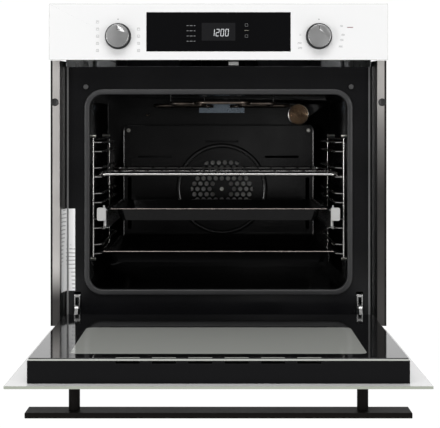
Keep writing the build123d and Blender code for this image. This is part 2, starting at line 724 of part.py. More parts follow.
def air_duct():
    """Flat duct from the blower to the outlet over the door."""
    y0 = FRAME_SETBACK
    y1 = y0 + DUCT_DEPTH
    outer = box(-DUCT_HALF - SHEET, DUCT_HALF + SHEET, y0, y1,
                DUCT_FLOOR - SHEET, DUCT_FLOOR + DUCT_HEIGHT + SHEET)
    duct = outer - box(-DUCT_HALF, DUCT_HALF, y0 - 1, y1 - SHEET, DUCT_FLOOR, DUCT_FLOOR + DUCT_HEIGHT)
    port = BLOWER_WALL - SHEET
    return duct - box(-port, port, y1 - SHEET - 1, y1 + 1, DUCT_FLOOR, DUCT_FLOOR + DUCT_HEIGHT)


def blower_housing():
    """Casing round the cooling wheel, open to the duct and with a round inlet."""
    y0 = FRAME_SETBACK + DUCT_DEPTH + GAP
    y1 = BLOWER_Y + BLOWER_RADIUS + 12
    z1 = DUCT_FLOOR + BLOWER_HEIGHT + 10
    outer = box(-BLOWER_WALL, BLOWER_WALL, y0, y1, DUCT_FLOOR - SHEET, z1)
    outer -= box(-BLOWER_WALL + SHEET, BLOWER_WALL - SHEET, y0 - 1, y1 - SHEET, DUCT_FLOOR, z1 - SHEET)
    return outer - rod_z(BLOWER_RADIUS - 10, 0, BLOWER_Y, z1 - 2, z1 + 1)


def blower_wheel():
    """Drum wheel with curved blades, a floor disc and its shaft."""
    z0 = DUCT_FLOOR + 4
    z1 = z0 + BLOWER_HEIGHT
    disc = rod_z(BLOWER_RADIUS, 0, BLOWER_Y, z0, z0 + 1.5)
    rim = rod_z(BLOWER_RADIUS, 0, BLOWER_Y, z1 - 1.5, z1)
    rim -= rod_z(BLOWER_RADIUS - 12, 0, BLOWER_Y, z1 - 3, z1 + 1)
    wheel = disc + rim + rod_z(10, 0, BLOWER_Y, z0, z0 + 12)
    for i in range(24):
        vane = Rot(0, 0, 35) * Box(11, 1.2, BLOWER_HEIGHT - 1)
        blade = Pos(BLOWER_RADIUS - 6, 0, z0 + BLOWER_HEIGHT / 2) * vane
        wheel += Pos(0, BLOWER_Y, 0) * Rot(0, 0, 15 * i) * blade
    return wheel + rod_z(2.5, 0, BLOWER_Y, z0, z1 + 24)


def blower_motor():
    """Motor over the inlet, on three arms."""
    z0 = DUCT_FLOOR + BLOWER_HEIGHT + 10 + GAP / 3
    body = rod_z(24, 0, BLOWER_Y, z0 + 2, z0 + 26)
    for i in range(3):
        body += Pos(0, BLOWER_Y, z0 + 1) * Rot(0, 0, 120 * i + 30) * Pos(30, 0, 0) * Box(60, 9, 2)
    return body - rod_z(2.55, 0, BLOWER_Y, z0 - 1, z0 + 22)


def power_board():
    """Relay board over the duct, on its tray."""
    z = DUCT_FLOOR + DUCT_HEIGHT + SHEET + 4
    board = box(-60, 110, 70, 190, z, z + 1.6)
    for i in range(5):
        board += box(-48 + 30 * i, -28 + 30 * i, 90, 106, z + 1.6, z + 17)
    board += box(-40, 10, 130, 170, z + 1.6, z + 24)
    return board + rod_z(9, 60, 150, z + 1.6, z + 26)


# Control panel --------------------------------------------------------------


def fascia_glass():
    """Front glass with the display cut-out and two shaft holes."""
    centre = PANEL_BOTTOM + PANEL_HEIGHT / 2
    sketch = Pos(0, centre) * RectangleRounded(FRONT_WIDTH, PANEL_HEIGHT, 0.8)
    sketch -= Pos(0, centre) * Rectangle(WINDOW_WIDTH, WINDOW_HEIGHT)
    for side in (-1, 1):
        sketch -= Pos(side * KNOB_SPACING / 2, KNOB_Z) * Circle(SHAFT_DIA / 2 + 1.5)
    return plate(sketch, PANEL_FRONT, PANEL_BACK)


def display_lens():
    """Dark lens that fills the cut-out."""
    centre = PANEL_BOTTOM + PANEL_HEIGHT / 2
    return plate(Pos(0, centre) * Rectangle(WINDOW_WIDTH - GAP, WINDOW_HEIGHT - GAP), PANEL_FRONT, PANEL_BACK)


def panel_carrier():
    """Moulded tray behind the glass that carries the controls."""
    low = PANEL_BOTTOM + CARRIER_INSET
    high = FRONT_HEIGHT - CARRIER_INSET
    half = HALF - CARRIER_INSET
    tray_box = box(-half, half, PANEL_BACK, -1, low, high)
    tray_box -= box(-half + 2, half - 2, PANEL_BACK - 1, -3, low + 2, high - 2)
    for side in (-1, 1):
        tray_box -= rod_y(SHAFT_DIA / 2 + 1.5, side * KNOB_SPACING / 2, KNOB_Z, -4, 0)
        tray_box += box(side * (BODY_HALF - 20) - 8, side * (BODY_HALF - 20) + 8, -1,
                        FRAME_SETBACK - GAP, BODY_TOP - 30, BODY_TOP - 14)
    return tray_box


def display_module():
    """Display and touch board behind the lens."""
    centre = PANEL_BOTTOM + PANEL_HEIGHT / 2
    board = Pos(0, 0, centre) * box(-118, 118, -13, -11.4, -32, 32)
    return board + Pos(0, 0, centre) * box(-46, 46, -16.8, -13, -18, 18)


def encoders():
    """The two rotary switches that the knob shafts turn in."""
    pair = []
    for side in (-1, 1):
        x = side * KNOB_SPACING / 2
        half = ENCODER_SIZE / 2
        body = box(x - half, x + half, -0.8, 11, KNOB_Z - half, KNOB_Z + half)
        pair.append(body - rod_y(SHAFT_DIA / 2 + 0.05, x, KNOB_Z, -2, 9))
    return pair


def knob_body(side):
    """Dark skirt, stem and shaft of a knob."""
    x = side * KNOB_SPACING / 2
    skirt_front = PANEL_FRONT - GAP - SKIRT_THICK
    skirt = rod_y(SKIRT_DIA / 2, x, KNOB_Z, skirt_front, PANEL_FRONT - GAP)
    skirt = chamfer(skirt.edges().sort_by(Axis.Y)[0], 0.8)
    stem = rod_y(KNOB_DIA / 2 - 2.5, x, KNOB_Z, PANEL_FRONT - KNOB_PROUD + 2, skirt_front)
    return skirt + stem + rod_y(SHAFT_DIA / 2, x, KNOB_Z, skirt_front, 8)


def knob_cap(side):
    """Metal-coloured cap with a pointer groove."""
    x = side * KNOB_SPACING / 2
    front = PANEL_FRONT - KNOB_PROUD
    skirt_front = PANEL_FRONT - GAP - SKIRT_THICK
    cap = rod_y(KNOB_DIA / 2, x, KNOB_Z, front, skirt_front - 0.1)
    cap = fillet(cap.edges().sort_by(Axis.Y)[0], 1.2)
    cap -= rod_y(KNOB_DIA / 2 - 2.4, x, KNOB_Z, front + 1.9, skirt_front)
    return cap - box(x - 0.6, x + 0.6, front - 1, front + 0.5, KNOB_Z + 9, KNOB_Z + KNOB_DIA / 2 - 2)


def door_buffer_pair():
    """Soft stops on the front frame that the closed door meets."""
    return [
        rod_y(4.5, side * (OPENING_HALF + 5), OPENING_TOP + 12, DOOR_REAR + 1, FRAME_SETBACK - 0.05)
        for side in (-1, 1)
    ]


def door_switch():
    """Switch block in the air outlet that the door works."""
    block = box(18, 36, FRAME_SETBACK - 2, FRAME_SETBACK + 14, DUCT_FLOOR + 1.6, DUCT_FLOOR + 8)
    return fillet(block.edges().filter_by(Axis.Y), 1)


def data_label():
    """Blank label folded from the flange's wall on to the front frame."""
    x0 = BODY_HALF - 0.4
    face = FRAME_SETBACK - 0.4
    lean = (FLANGE_X - BODY_HALF) * 0.72
    section = Polygon(
        (x0 + lean, 0), (x0 + lean + 0.25, 0), (x0 + 0.25, face + 0.25), (x0 - 16, face + 0.25),
        (x0 - 16, face), (x0, face), align=None,
    )
    return mirrored(Pos(0, 0, 86) * extrude(section, amount=147))


# Hinges ---------------------------------------------------------------------


def bar_yz(start, end, radius):
    """Round-ended bar section between two points in Y and Z."""
    dy = end[0] - start[0]
    dz = end[1] - start[1]
    angle = math.degrees(math.atan2(dz, dy))
    slot = SlotCenterToCenter(math.hypot(dy, dz), 2 * radius)
    return Pos((start[0] + end[0]) / 2, (start[1] + end[1]) / 2) * Rot(0, 0, angle) * slot


def across(sketch, x0, x1):
    """A sketch drawn in Y and Z, given thickness from x0 to x1."""
    return Pos(x0, 0, 0) * extrude(Plane.YZ * sketch, amount=x1 - x0)


def hinge_arm():
    """Steel arm from the receiver out to the door's pivot."""
    half = ARM_WIDTH / 2
    elbow = (ARM_RISE_Y, ARM_RISE_Z)
    sketch = bar_yz((PIVOT_Y, PIVOT_Z), elbow, EYE_RADIUS)
    sketch += bar_yz(elbow, (ARM_END_Y, ARM_RISE_Z), ARM_HEIGHT / 2)
    sketch -= Pos(PIVOT_Y, PIVOT_Z) * Circle(PIN_RADIUS + 0.05)
    sketch -= Pos(LEVER_Y, ARM_RISE_Z) * Circle(LEVER_PIN + 0.05)
    return across(sketch, HINGE_X - half, HINGE_X + half)


def hinge_receiver():
    """Steel pocket behind the front frame that the arm hooks into."""
    half = ARM_WIDTH / 2 + 4.5
    y1 = ARM_END_Y + 14
    outer = box(HINGE_X - half, HINGE_X + half, FRAME_BACK + 0.1, y1, ARM_RISE_Z - 16, ARM_RISE_Z + 22)
    return outer - box(HINGE_X - half + 1.5, HINGE_X + half - 1.5, FRAME_BACK, y1 - 1.5,
                       ARM_RISE_Z - 14, ARM_RISE_Z + 20)


def hinge_lever():
    """Lock lever on the arm: two cheeks, a bridge and its pin."""
    inner = ARM_WIDTH / 2 + GAP
    outer = inner + 1.6
    cheek = bar_yz((LEVER_Y, ARM_RISE_Z), (LEVER_Y, ARM_RISE_Z + LEVER_LENGTH), 1.9)
    lever = across(cheek, HINGE_X + inner, HINGE_X + outer) + across(cheek, HINGE_X - outer, HINGE_X - inner)
    top = ARM_RISE_Z + LEVER_LENGTH
    y0, y1 = LEVER_Y - BRIDGE_HALF, LEVER_Y + 1.4
    lever += box(HINGE_X - outer, HINGE_X + outer, y0, y1, top - 3, top + 1.4)
    return lever + rod_x(LEVER_PIN, LEVER_Y, ARM_RISE_Z, HINGE_X - outer, HINGE_X + outer)


def hinge_body():
    """Steel channel in the door that holds the pin and the spring."""
    inner = ARM_WIDTH / 2 + GAP
    outer = inner + 1.5
    top = DOOR_BOX_BOTTOM + HINGE_BODY_HEIGHT
    front = PANEL_BACK + SHEET + GAP
    rear = DOOR_BOX_BACK - SHEET - 3
    cheek = bar_yz((PIVOT_Y, PIVOT_Z), (PIVOT_Y + 7, DOOR_BOX_BOTTOM + 14), EYE_RADIUS)
    cheek += Pos((front + rear) / 2, (DOOR_BOX_BOTTOM + 5 + top) / 2) * Rectangle(
        rear - front, top - DOOR_BOX_BOTTOM - 5
    )
    cheek -= Pos(PIVOT_Y, PIVOT_Z) * Circle(PIN_RADIUS)
    body = across(cheek, HINGE_X + inner, HINGE_X + outer) + across(cheek, HINGE_X - outer, HINGE_X - inner)
    return body + box(HINGE_X - outer, HINGE_X + outer, front, front + 1.5, DOOR_BOX_BOTTOM + 24, top)


def hinge_pin():
    """Pivot pin between the hinge body's cheeks."""
    reach = ARM_WIDTH / 2 + GAP + 1.5
    return rod_x(PIN_RADIUS, PIVOT_Y, PIVOT_Z, HINGE_X - reach, HINGE_X + reach)


def hinge_spring():
    """Counterbalance spring in the hinge body, as a plain sleeve."""
    low = DOOR_BOX_BOTTOM + 46
    return rod_z(2.9, HINGE_X, 0, low, low + 84) - rod_z(1.9, HINGE_X, 0, low - 1, low + 85)


# Door, drawn closed ---------------------------------------------------------


def outer_glass():
    """Front glass of the door with two holes for the handle."""
    sketch = Pos(0, (DOOR_BOTTOM + DOOR_TOP) / 2) * RectangleRounded(FRONT_WIDTH, DOOR_TOP - DOOR_BOTTOM, 0.8)
    for side in (-1, 1):
        sketch -= Pos(side * POST_SPACING / 2, HANDLE_Z) * Circle(HANDLE_SCREW_DIA / 2 + 0.5)
    return plate(sketch, PANEL_FRONT, PANEL_BACK)


def middle_glass():
    half = DOOR_BOX_HALF - CHANNEL_WIDTH - 4
    sketch = Pos(0, (INNER_GLASS_BOTTOM + 2 + MIDDLE_TOP) / 2) * Rectangle(
        2 * half, MIDDLE_TOP - INNER_GLASS_BOTTOM - 2
    )
    return plate(sketch, MIDDLE_GLASS_Y, MIDDLE_GLASS_Y + GLASS)


def inner_glass():
    """Glass pane that faces the cavity."""
    half = DOOR_BOX_HALF - INNER_GLASS_INSET
    sketch = Pos(0, (INNER_GLASS_BOTTOM + DOOR_BOX_TOP) / 2) * RectangleRounded(
        2 * half, DOOR_BOX_TOP - INNER_GLASS_BOTTOM, 2
    )
    return plate(sketch, DOOR_BOX_BACK, DOOR_REAR)


def door_side_profile():
    """Channel down the side of the door, cut away where the hinge arm passes."""
    x1 = DOOR_BOX_HALF
    x0 = x1 - CHANNEL_WIDTH
    top = DOOR_BOX_TOP - TRIM_HEIGHT
    profile = box(x0, x1, PANEL_BACK, DOOR_BOX_BACK, DOOR_BOX_BOTTOM, top)
    profile -= box(x0 - 1, x1 - SHEET, PANEL_BACK + SHEET, DOOR_BOX_BACK - SHEET,
                   DOOR_BOX_BOTTOM - 1, top + 1)
    hinge_room = box(x0 - 1, x1 - SHEET, 0, DOOR_BOX_BACK + 1, DOOR_BOX_BOTTOM - 1, INNER_GLASS_BOTTOM - 1)
    return profile - hinge_room


def door_top_trim():
    """Top bar of the door with a row of air slots against the inner glass."""
    trim = box(-DOOR_BOX_HALF, DOOR_BOX_HALF, PANEL_BACK, DOOR_BOX_BACK,
               DOOR_BOX_TOP - TRIM_HEIGHT, DOOR_BOX_TOP)
    for i in range(VENT_COUNT):
        x = (i - (VENT_COUNT - 1) / 2) * VENT_PITCH
        trim -= box(x - VENT_LENGTH / 2, x + VENT_LENGTH / 2, DOOR_BOX_BACK - VENT_DEPTH, DOOR_BOX_BACK + 1,
                    DOOR_BOX_TOP - TRIM_HEIGHT - 1, DOOR_BOX_TOP + 1)
    return trim


def door_bottom_profile():
    """Hollow bar across the foot of the door, between the hinges."""
    half = DOOR_BOX_HALF - CHANNEL_WIDTH - GAP
    top = INNER_GLASS_BOTTOM - GAP
    bar = box(-half, half, PANEL_BACK, DOOR_BOX_BACK, DOOR_BOX_BOTTOM, top)
    return bar - box(-half - 1, half + 1, PANEL_BACK + 1.5, DOOR_BOX_BACK - 1.5,
                     DOOR_BOX_BOTTOM + 1.5, top - 1.5)


def glass_spacers():
    """Bars that keep the middle and inner glass apart, one down each side."""
    y0 = MIDDLE_GLASS_Y + GLASS + 0.1
    bars = []
    for side in (-1, 1):
        x0 = side * (SPACER_INNER + SPACER_WIDTH / 2)
        bars.append(box(x0 - SPACER_WIDTH / 2, x0 + SPACER_WIDTH / 2, y0, DOOR_BOX_BACK - 0.1,
                        INNER_GLASS_BOTTOM + 30, MIDDLE_TOP - 6))
    return bars


def glass_crossbar():
    """Light strip between the panes, under the window."""
    return box(-SPACER_INNER + 1, SPACER_INNER - 1, 5, 6.2, 209, 240)


def handle_bar():
    """Flat grip bar."""
    y1 = PANEL_FRONT - HANDLE_STANDOFF
    bar = box(-HANDLE_LENGTH / 2, HANDLE_LENGTH / 2, y1 - HANDLE_THICK, y1,
              HANDLE_Z - HANDLE_WIDTH / 2, HANDLE_Z + HANDLE_WIDTH / 2)
    return fillet(bar.edges().filter_by(Axis.X), 1.5)


def handle_posts():
    """Two round posts between the glass and the grip."""
    posts = []
    for side in (-1, 1):
        x = side * POST_SPACING / 2
        post = rod_y(POST_DIA / 2, x, HANDLE_Z, PANEL_FRONT - HANDLE_STANDOFF, PANEL_FRONT)
        posts.append(post - rod_y(HANDLE_SCREW_DIA / 2, x, HANDLE_Z, PANEL_FRONT - 30, PANEL_FRONT + 1))
    return posts


def handle_screws():
    """Screws through the outer glass into the posts."""
    screws = []
    for side in (-1, 1):
        x = side * POST_SPACING / 2
        shank = rod_y(HANDLE_SCREW_DIA / 2 - 0.05, x, HANDLE_Z, PANEL_FRONT - 28, PANEL_BACK + 0.1)
        screws.append(shank + rod_y(HANDLE_SCREW_DIA, x, HANDLE_Z, PANEL_BACK + 0.05, PANEL_BACK + 2.6))
    return screws


# Export ---------------------------------------------------------------------


def save_casing():
    save("side_panels", *both(side_panel()))
    save("top_cover", top_cover())
    save("rear_cover", rear_cover())
    save("base_plate", base_plate())
    save("terminal_box", terminal_box())
    save("cable_gland", cable_gland())
    save("front_frame", front_frame())
    save("mounting_flanges", *both(mounting_flange()))
    save("data_label", data_label())
    save("door_buffers", *door_buffer_pair())
    save("door_switch", door_switch())


def save_cavity():
    save("cavity_shell", cavity_shell())
    save("cavity_gasket", cavity_gasket())
    save("insulation", *insulation())
    save("fan_cover", fan_cover())
    save("convection_fan", convection_fan())
    save("fan_motor", fan_motor())
    save("ring_element", ring_element())
    save("grill_element", grill_element())
    save("grill_supports", grill_plate(), *element_hangers())
    save("bottom_element", bottom_element())
    save("lamp_socket", lamp_holder(), lamp_bulb())
    save("lamp_glass", lamp_glass())
    save("temperature_sensor", temperature_sensor())
    save("side_racks", *both(side_rack()))
    save("cavity_screws", *rack_studs(), *fan_cover_screws())


def save_sliding_pieces():
    shelf_z = level_z(SHELF_LEVEL) + RUNG_RADIUS + GAP + SHELF_WIRE_DIA / 2
    save("wire_shelf", wire_grid(SHELF_HALF, SHELF_FRONT, SHELF_DEPTH, shelf_z, SHELF_BARS))
    tray_z = level_z(TRAY_LEVEL) + RUNG_RADIUS + GAP + TRAY_THICK
    save("lower_tray", tray(TRAY_HALF, TRAY_FRONT, TRAY_LENGTH, tray_z, TRAY_DEPTH, TRAY_LIP))
    middle = tray(MID_TRAY_HALF, MID_TRAY_FRONT, MID_TRAY_LENGTH, MID_TRAY_Z, TRAY_DEPTH, TRAY_LIP)
    save("runner_tray", middle)
    for name, piece in (
        ("runner_rails", runner_rail()),
        ("runner_middles", runner_middle()),
        ("runner_carriages", runner_carriage()),
        ("runner_caps", runner_cap()),
    ):
        save(name, *both(piece))


def save_controls():
    save("fascia_glass", fascia_glass())
    save("display_lens", display_lens())
    save("panel_carrier", panel_carrier())
    save("control_electronics", display_module(), power_board(), *encoders())
    for name, side in (("left", -1), ("right", 1)):
        save(f"knob_body_{name}", knob_body(side))
        save(f"knob_cap_{name}", knob_cap(side))
    save("air_duct", air_duct(), blower_housing())
    save("blower_wheel", blower_wheel())
    save("blower_motor", blower_motor())


def save_door():
    for name, piece in (("hinge_receivers", hinge_receiver()), ("hinge_arms", hinge_arm())):
        save(name, *both(piece))
    save("hinge_lever_right", hinge_lever())
    save("hinge_lever_left", mirrored(hinge_lever()))
    save("hinge_bodies", *both(opened(hinge_body())))
    save("hinge_pins_springs", *both(opened(hinge_pin())), *both(opened(hinge_spring())))
    save("door_side_profiles", *both(opened(door_side_profile())))
    save("door_outer_glass", opened(outer_glass()))
    save("door_middle_glass", opened(middle_glass()))
    save("door_inner_glass", opened(inner_glass()))
    save("door_top_trim", opened(door_top_trim()))
    save("door_bottom_profile", opened(door_bottom_profile()))
    save("glass_spacers", *[opened(bar) for bar in glass_spacers()], opened(glass_crossbar()))
    save("handle_bar", opened(handle_bar()))
    save("handle_posts", *[opened(post) for post in handle_posts()])
    save("handle_screws", *[opened(screw) for screw in handle_screws()])


os.makedirs("parts", exist_ok=True)
save_casing()
save_cavity()
save_sliding_pieces()
save_controls()
save_door()
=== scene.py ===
"""Looks of a built-in wall oven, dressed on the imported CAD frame.

Every length is in metres and every place comes from the frame's own nodes. Each sub-assembly is a
class that makes or refines its pieces and gives them their finish.
"""

from __future__ import annotations

import json
import logging
import math
from dataclasses import dataclass, field
from enum import Enum
from typing import Callable, Mapping, Sequence

import bmesh
import bpy
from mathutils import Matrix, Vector

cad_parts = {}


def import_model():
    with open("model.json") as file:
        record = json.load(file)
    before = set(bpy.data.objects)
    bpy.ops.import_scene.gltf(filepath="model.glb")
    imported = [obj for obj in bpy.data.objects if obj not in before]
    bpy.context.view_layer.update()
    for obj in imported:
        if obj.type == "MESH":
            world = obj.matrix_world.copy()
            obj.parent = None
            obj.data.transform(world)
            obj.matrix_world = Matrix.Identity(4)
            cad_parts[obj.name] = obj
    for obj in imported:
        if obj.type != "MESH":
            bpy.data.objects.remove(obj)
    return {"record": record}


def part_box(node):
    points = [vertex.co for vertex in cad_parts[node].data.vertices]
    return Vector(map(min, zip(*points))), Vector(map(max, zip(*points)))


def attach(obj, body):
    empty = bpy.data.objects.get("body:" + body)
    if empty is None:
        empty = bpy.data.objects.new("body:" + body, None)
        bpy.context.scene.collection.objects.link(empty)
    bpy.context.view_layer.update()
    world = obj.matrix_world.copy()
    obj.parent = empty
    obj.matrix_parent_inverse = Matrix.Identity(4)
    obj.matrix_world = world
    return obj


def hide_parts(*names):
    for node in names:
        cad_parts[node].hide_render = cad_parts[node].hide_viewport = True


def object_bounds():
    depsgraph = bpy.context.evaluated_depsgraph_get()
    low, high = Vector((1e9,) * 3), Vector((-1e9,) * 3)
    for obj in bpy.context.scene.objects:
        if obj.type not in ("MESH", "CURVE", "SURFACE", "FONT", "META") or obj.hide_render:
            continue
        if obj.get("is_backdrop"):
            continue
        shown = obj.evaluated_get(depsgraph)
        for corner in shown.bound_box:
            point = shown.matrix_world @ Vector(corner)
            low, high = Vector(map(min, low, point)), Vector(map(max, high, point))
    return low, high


LOG = logging.getLogger("wall_oven")
MM = 0.001
Point = tuple[float, float, float]
Colour = tuple[float, float, float, float]


class Axis(Enum):
    """A row axis, as an index into a vector."""

    X = 0
    Y = 1
    Z = 2


class Body(str, Enum):
    """The CAD bodies that pieces ride on."""

    CHASSIS = "chassis"
    DOOR = "door"
    KNOB_LEFT = "knob_left"
    KNOB_RIGHT = "knob_right"
    FAN = "convection_fan"
    BLOWER = "blower_wheel"
    SHELF = "wire_shelf"
    TRAY = "lower_tray"
    CARRIAGE = "runner_carriage"
    MIDDLE = "runner_middle"
    LEVER_LEFT = "hinge_lever_left"
    LEVER_RIGHT = "hinge_lever_right"


# Shader maths ---------------------------------------------------------------


class Wire:
    """A shader socket that takes part in Python arithmetic."""

    def __init__(self, graph: Graph, socket: bpy.types.NodeSocket) -> None:
        """Keeps the graph that new nodes go into, and the socket."""
        self.graph = graph
        self.socket = socket

    def _maths(self, operation: str, *values: float | Wire) -> Wire:
        """Adds one Math node and returns its result."""
        inputs = dict(enumerate(values))
        return self.graph.add("ShaderNodeMath", {"operation": operation}, inputs)

    def __add__(self, other: float | Wire) -> Wire:
        """Sum."""
        return self._maths("ADD", self, other)

    __radd__ = __add__

    def __sub__(self, other: float | Wire) -> Wire:
        """Difference."""
        return self._maths("SUBTRACT", self, other)

    def __rsub__(self, other: float | Wire) -> Wire:
        """Reflected difference, so that 1 - mask works."""
        return self._maths("SUBTRACT", other, self)

    def __mul__(self, other: float | Wire) -> Wire:
        """Product."""
        return self._maths("MULTIPLY", self, other)

    __rmul__ = __mul__

    def __truediv__(self, other: float | Wire) -> Wire:
        """Quotient."""
        return self._maths("DIVIDE", self, other)

    def __abs__(self) -> Wire:
        """Size without sign."""
        return self._maths("ABSOLUTE", self)

    def larger(self, other: float | Wire) -> Wire:
        """The larger of two values."""
        return self._maths("MAXIMUM", self, other)

    def smaller(self, other: float | Wire) -> Wire:
        """The smaller of two values."""
        return self._maths("MINIMUM", self, other)

    def power(self, exponent: float) -> Wire:
        """This value to a power."""
        return self._maths("POWER", self, exponent)

    def sine(self) -> Wire:
        """Sine of this value in radians."""
        return self._maths("SINE", self)

    def step(self, low: float, high: float) -> Wire:
        """0 below low, 1 above high and smooth between."""
        settings = {"interpolation_type": "SMOOTHSTEP"}
        inputs = {"Value": self, "From Min": low, "From Max": high}
        return self.graph.add("ShaderNodeMapRange", settings, inputs)


class Graph:
    """One material's nodes, with a Principled shader at its end."""

    def __init__(self, name: str) -> None:
        """Starts a material of that name."""
        self.material = bpy.data.materials.new(name)
        self.material.use_nodes = True
        self.tree = self.material.node_tree
        self.shader = self.tree.nodes["Principled BSDF"]

    def add(
        self,
        kind: str,
        settings: Mapping[str, object] | None = None,
        inputs: Mapping[str | int, object] | None = None,
        output: str | int = 0,
    ) -> Wire:
        """Adds a node.

        Args:
            kind: the node's type.
            settings: its properties, set first; "stops" fills a colour ramp.
            inputs: values or wires for its sockets.
            output: which output to return.

        Returns:
            The chosen output as a wire.
        """
        node = self.tree.nodes.new(kind)
        for key, value in (settings or {}).items():
            if key == "stops":
                self._fill_ramp(node.color_ramp, value)
            else:
                setattr(node, key, value)
        for key, value in (inputs or {}).items():
            self.feed(node.inputs[key], value)
        return Wire(self, node.outputs[output])

    @staticmethod
    def _fill_ramp(ramp: bpy.types.ColorRamp, stops: Sequence[tuple[float, Colour]]) -> None:
        """Sets a colour ramp's stops."""
        while len(ramp.elements) < len(stops):
            ramp.elements.new(0.5)
        for element, (place, colour) in zip(ramp.elements, stops):
            element.position = place
            element.color = colour

    def feed(self, socket: bpy.types.NodeSocket, value: object) -> None:
        """Links a wire to a socket, or sets the socket's own value."""
        if isinstance(value, Wire):
            self.tree.links.new(value.socket, socket)
        else:
            socket.default_value = value

    def shade(self, **inputs: object) -> None:
        """Sets the Principled shader's sockets; an underscore stands for a space."""
        for key, value in inputs.items():
            self.feed(self.shader.inputs[key.replace("_", " ")], value)

    def place(self) -> Wire:
        """Object coordinates."""
        return self.add("ShaderNodeTexCoord", output="Object")

    def part(self, place: Wire, axis: Axis) -> Wire:
        """One coordinate of a place."""
        return self.add("ShaderNodeSeparateXYZ", inputs={0: place}, output=axis.value)

    def stretched(self, place: Wire, scale: Point, centre: Point = (0, 0, 0)) -> Wire:
        """A place moved so that centre is the origin, then scaled along each axis."""
        moved = self.add("ShaderNodeVectorMath", {"operation": "SUBTRACT"}, {0: place, 1: centre})
        return self.add("ShaderNodeVectorMath", {"operation": "MULTIPLY"}, {0: moved, 1: scale})

    def noise(self, place: Wire, scale: float, detail: float = 2.0) -> Wire:
        """Cloud noise from 0 to 1."""
        return self.add("ShaderNodeTexNoise", None, {"Vector": place, "Scale": scale, "Detail": detail})

    def blend(self, factor: float | Wire, low: Colour | Wire, high: Colour | Wire) -> Wire:
        """Mixes two colours."""
        node = self.tree.nodes.new("ShaderNodeMix")
        node.data_type = "RGBA"
        for index, value in ((0, factor), (6, low), (7, high)):
            self.feed(node.inputs[index], value)
        return Wire(self, node.outputs[2])

    def bump(self, height: Wire, strength: float, distance: float) -> None:
        """Feeds a height to the shader's normal."""
        inputs = {"Height": height, "Strength": strength, "Distance": distance}
        self.shade(Normal=self.add("ShaderNodeBump", None, inputs))


# Finishes -------------------------------------------------------------------

_made: dict[str, bpy.types.Material] = {}


def grey(value: float) -> Colour:
    """A neutral colour."""
    return (value, value, value, 1.0)


def scaled(colour: Colour, by: float) -> Colour:
    """A colour made darker or lighter."""
    return (colour[0] * by, colour[1] * by, colour[2] * by, 1.0)


@dataclass(frozen=True)
class Finish:
    """A plain finish: slightly mottled colour, uneven gloss and a fine skin.

    The spread fields say how far colour and roughness vary, and grain is the skin's bumps per metre.
    """

    name: str
    colour: Colour
    roughness: float = 0.4
    metallic: float = 0.0
    coat: float = 0.0
    colour_spread: float = 0.12
    rough_spread: float = 0.08
    cloud: float = 14.0
    grain: float = 900.0
    skin: float = 0.15
    depth: float = 0.00008
    specular: float = 0.5

    def material(self) -> bpy.types.Material:
        """The Blender material, made once."""
        if self.name not in _made:
            graph = Graph(self.name)
            self.dress(graph)
            _made[self.name] = graph.material
        return _made[self.name]

    def gloss(self, cloud: Wire) -> Wire:
        """Roughness that drifts with a cloud of noise."""
        return cloud * self.rough_spread * 2 + (self.roughness - self.rough_spread)

    def dress(self, graph: Graph) -> None:
        """Lays the finish into a material's graph."""
        place = graph.place()
        cloud = graph.noise(place, self.cloud, 4.0)
        fine = graph.noise(place, self.grain, 2.0)
        low = scaled(self.colour, 1 - self.colour_spread)
        high = scaled(self.colour, 1 + self.colour_spread)
        rough = self.gloss(cloud)
        graph.shade(
            Base_Color=graph.blend(cloud, low, high),
            Roughness=rough,
            Metallic=self.metallic,
            Coat_Weight=self.coat,
            Specular_IOR_Level=self.specular,
        )
        graph.bump(fine, self.skin, self.depth)


@dataclass(frozen=True)
class Enamel(Finish):
    """Vitreous enamel: orange peel, pinhead specks and a wet gloss."""

    speck: float = 0.35

    def dress(self, graph: Graph) -> None:
        """Adds light specks to the glossy ground."""
        place = graph.place()
        cloud = graph.noise(place, self.cloud, 3.0)
        peel = graph.noise(place, 160.0, 2.0)
        dots = graph.noise(place, 1400.0, 1.0).step(0.68, 0.76)
        ground = graph.blend(cloud, scaled(self.colour, 0.8), scaled(self.colour, 1.25))
        light = scaled(self.colour, 1 + 6 * self.speck)
        graph.shade(
            Base_Color=graph.blend(dots, ground, light),
            Roughness=self.gloss(cloud),
            Coat_Weight=self.coat,
            Specular_IOR_Level=self.specular,
        )
        graph.bump(peel, self.skin, self.depth)


@dataclass(frozen=True)
class Galvanised(Finish):
    """Zinc-coated sheet with spangles."""

    spangle: float = 90.0

    def dress(self, graph: Graph) -> None:
        """Gives each zinc crystal its own shade and gloss."""
        place = graph.place()
        bent = graph.stretched(place, (1.0, 0.8, 1.0))
        cells = graph.add("ShaderNodeTexVoronoi", None, {"Vector": bent, "Scale": self.spangle}, "Color")
        shade = graph.add("ShaderNodeSeparateColor", inputs={0: cells})
        cloud = graph.noise(place, self.cloud, 4.0)
        streak = graph.noise(graph.stretched(place, (1, 1, 30)), 30.0, 2.0)
        tone = shade * 0.55 + cloud * 0.3 + streak * 0.15
        graph.shade(
            Base_Color=graph.blend(tone, scaled(self.colour, 0.72), scaled(self.colour, 1.15)),
            Roughness=shade * self.rough_spread * 2 + (self.roughness - self.rough_spread),
            Metallic=self.metallic,
        )
        graph.bump(graph.noise(place, self.grain, 2.0), self.skin, self.depth)


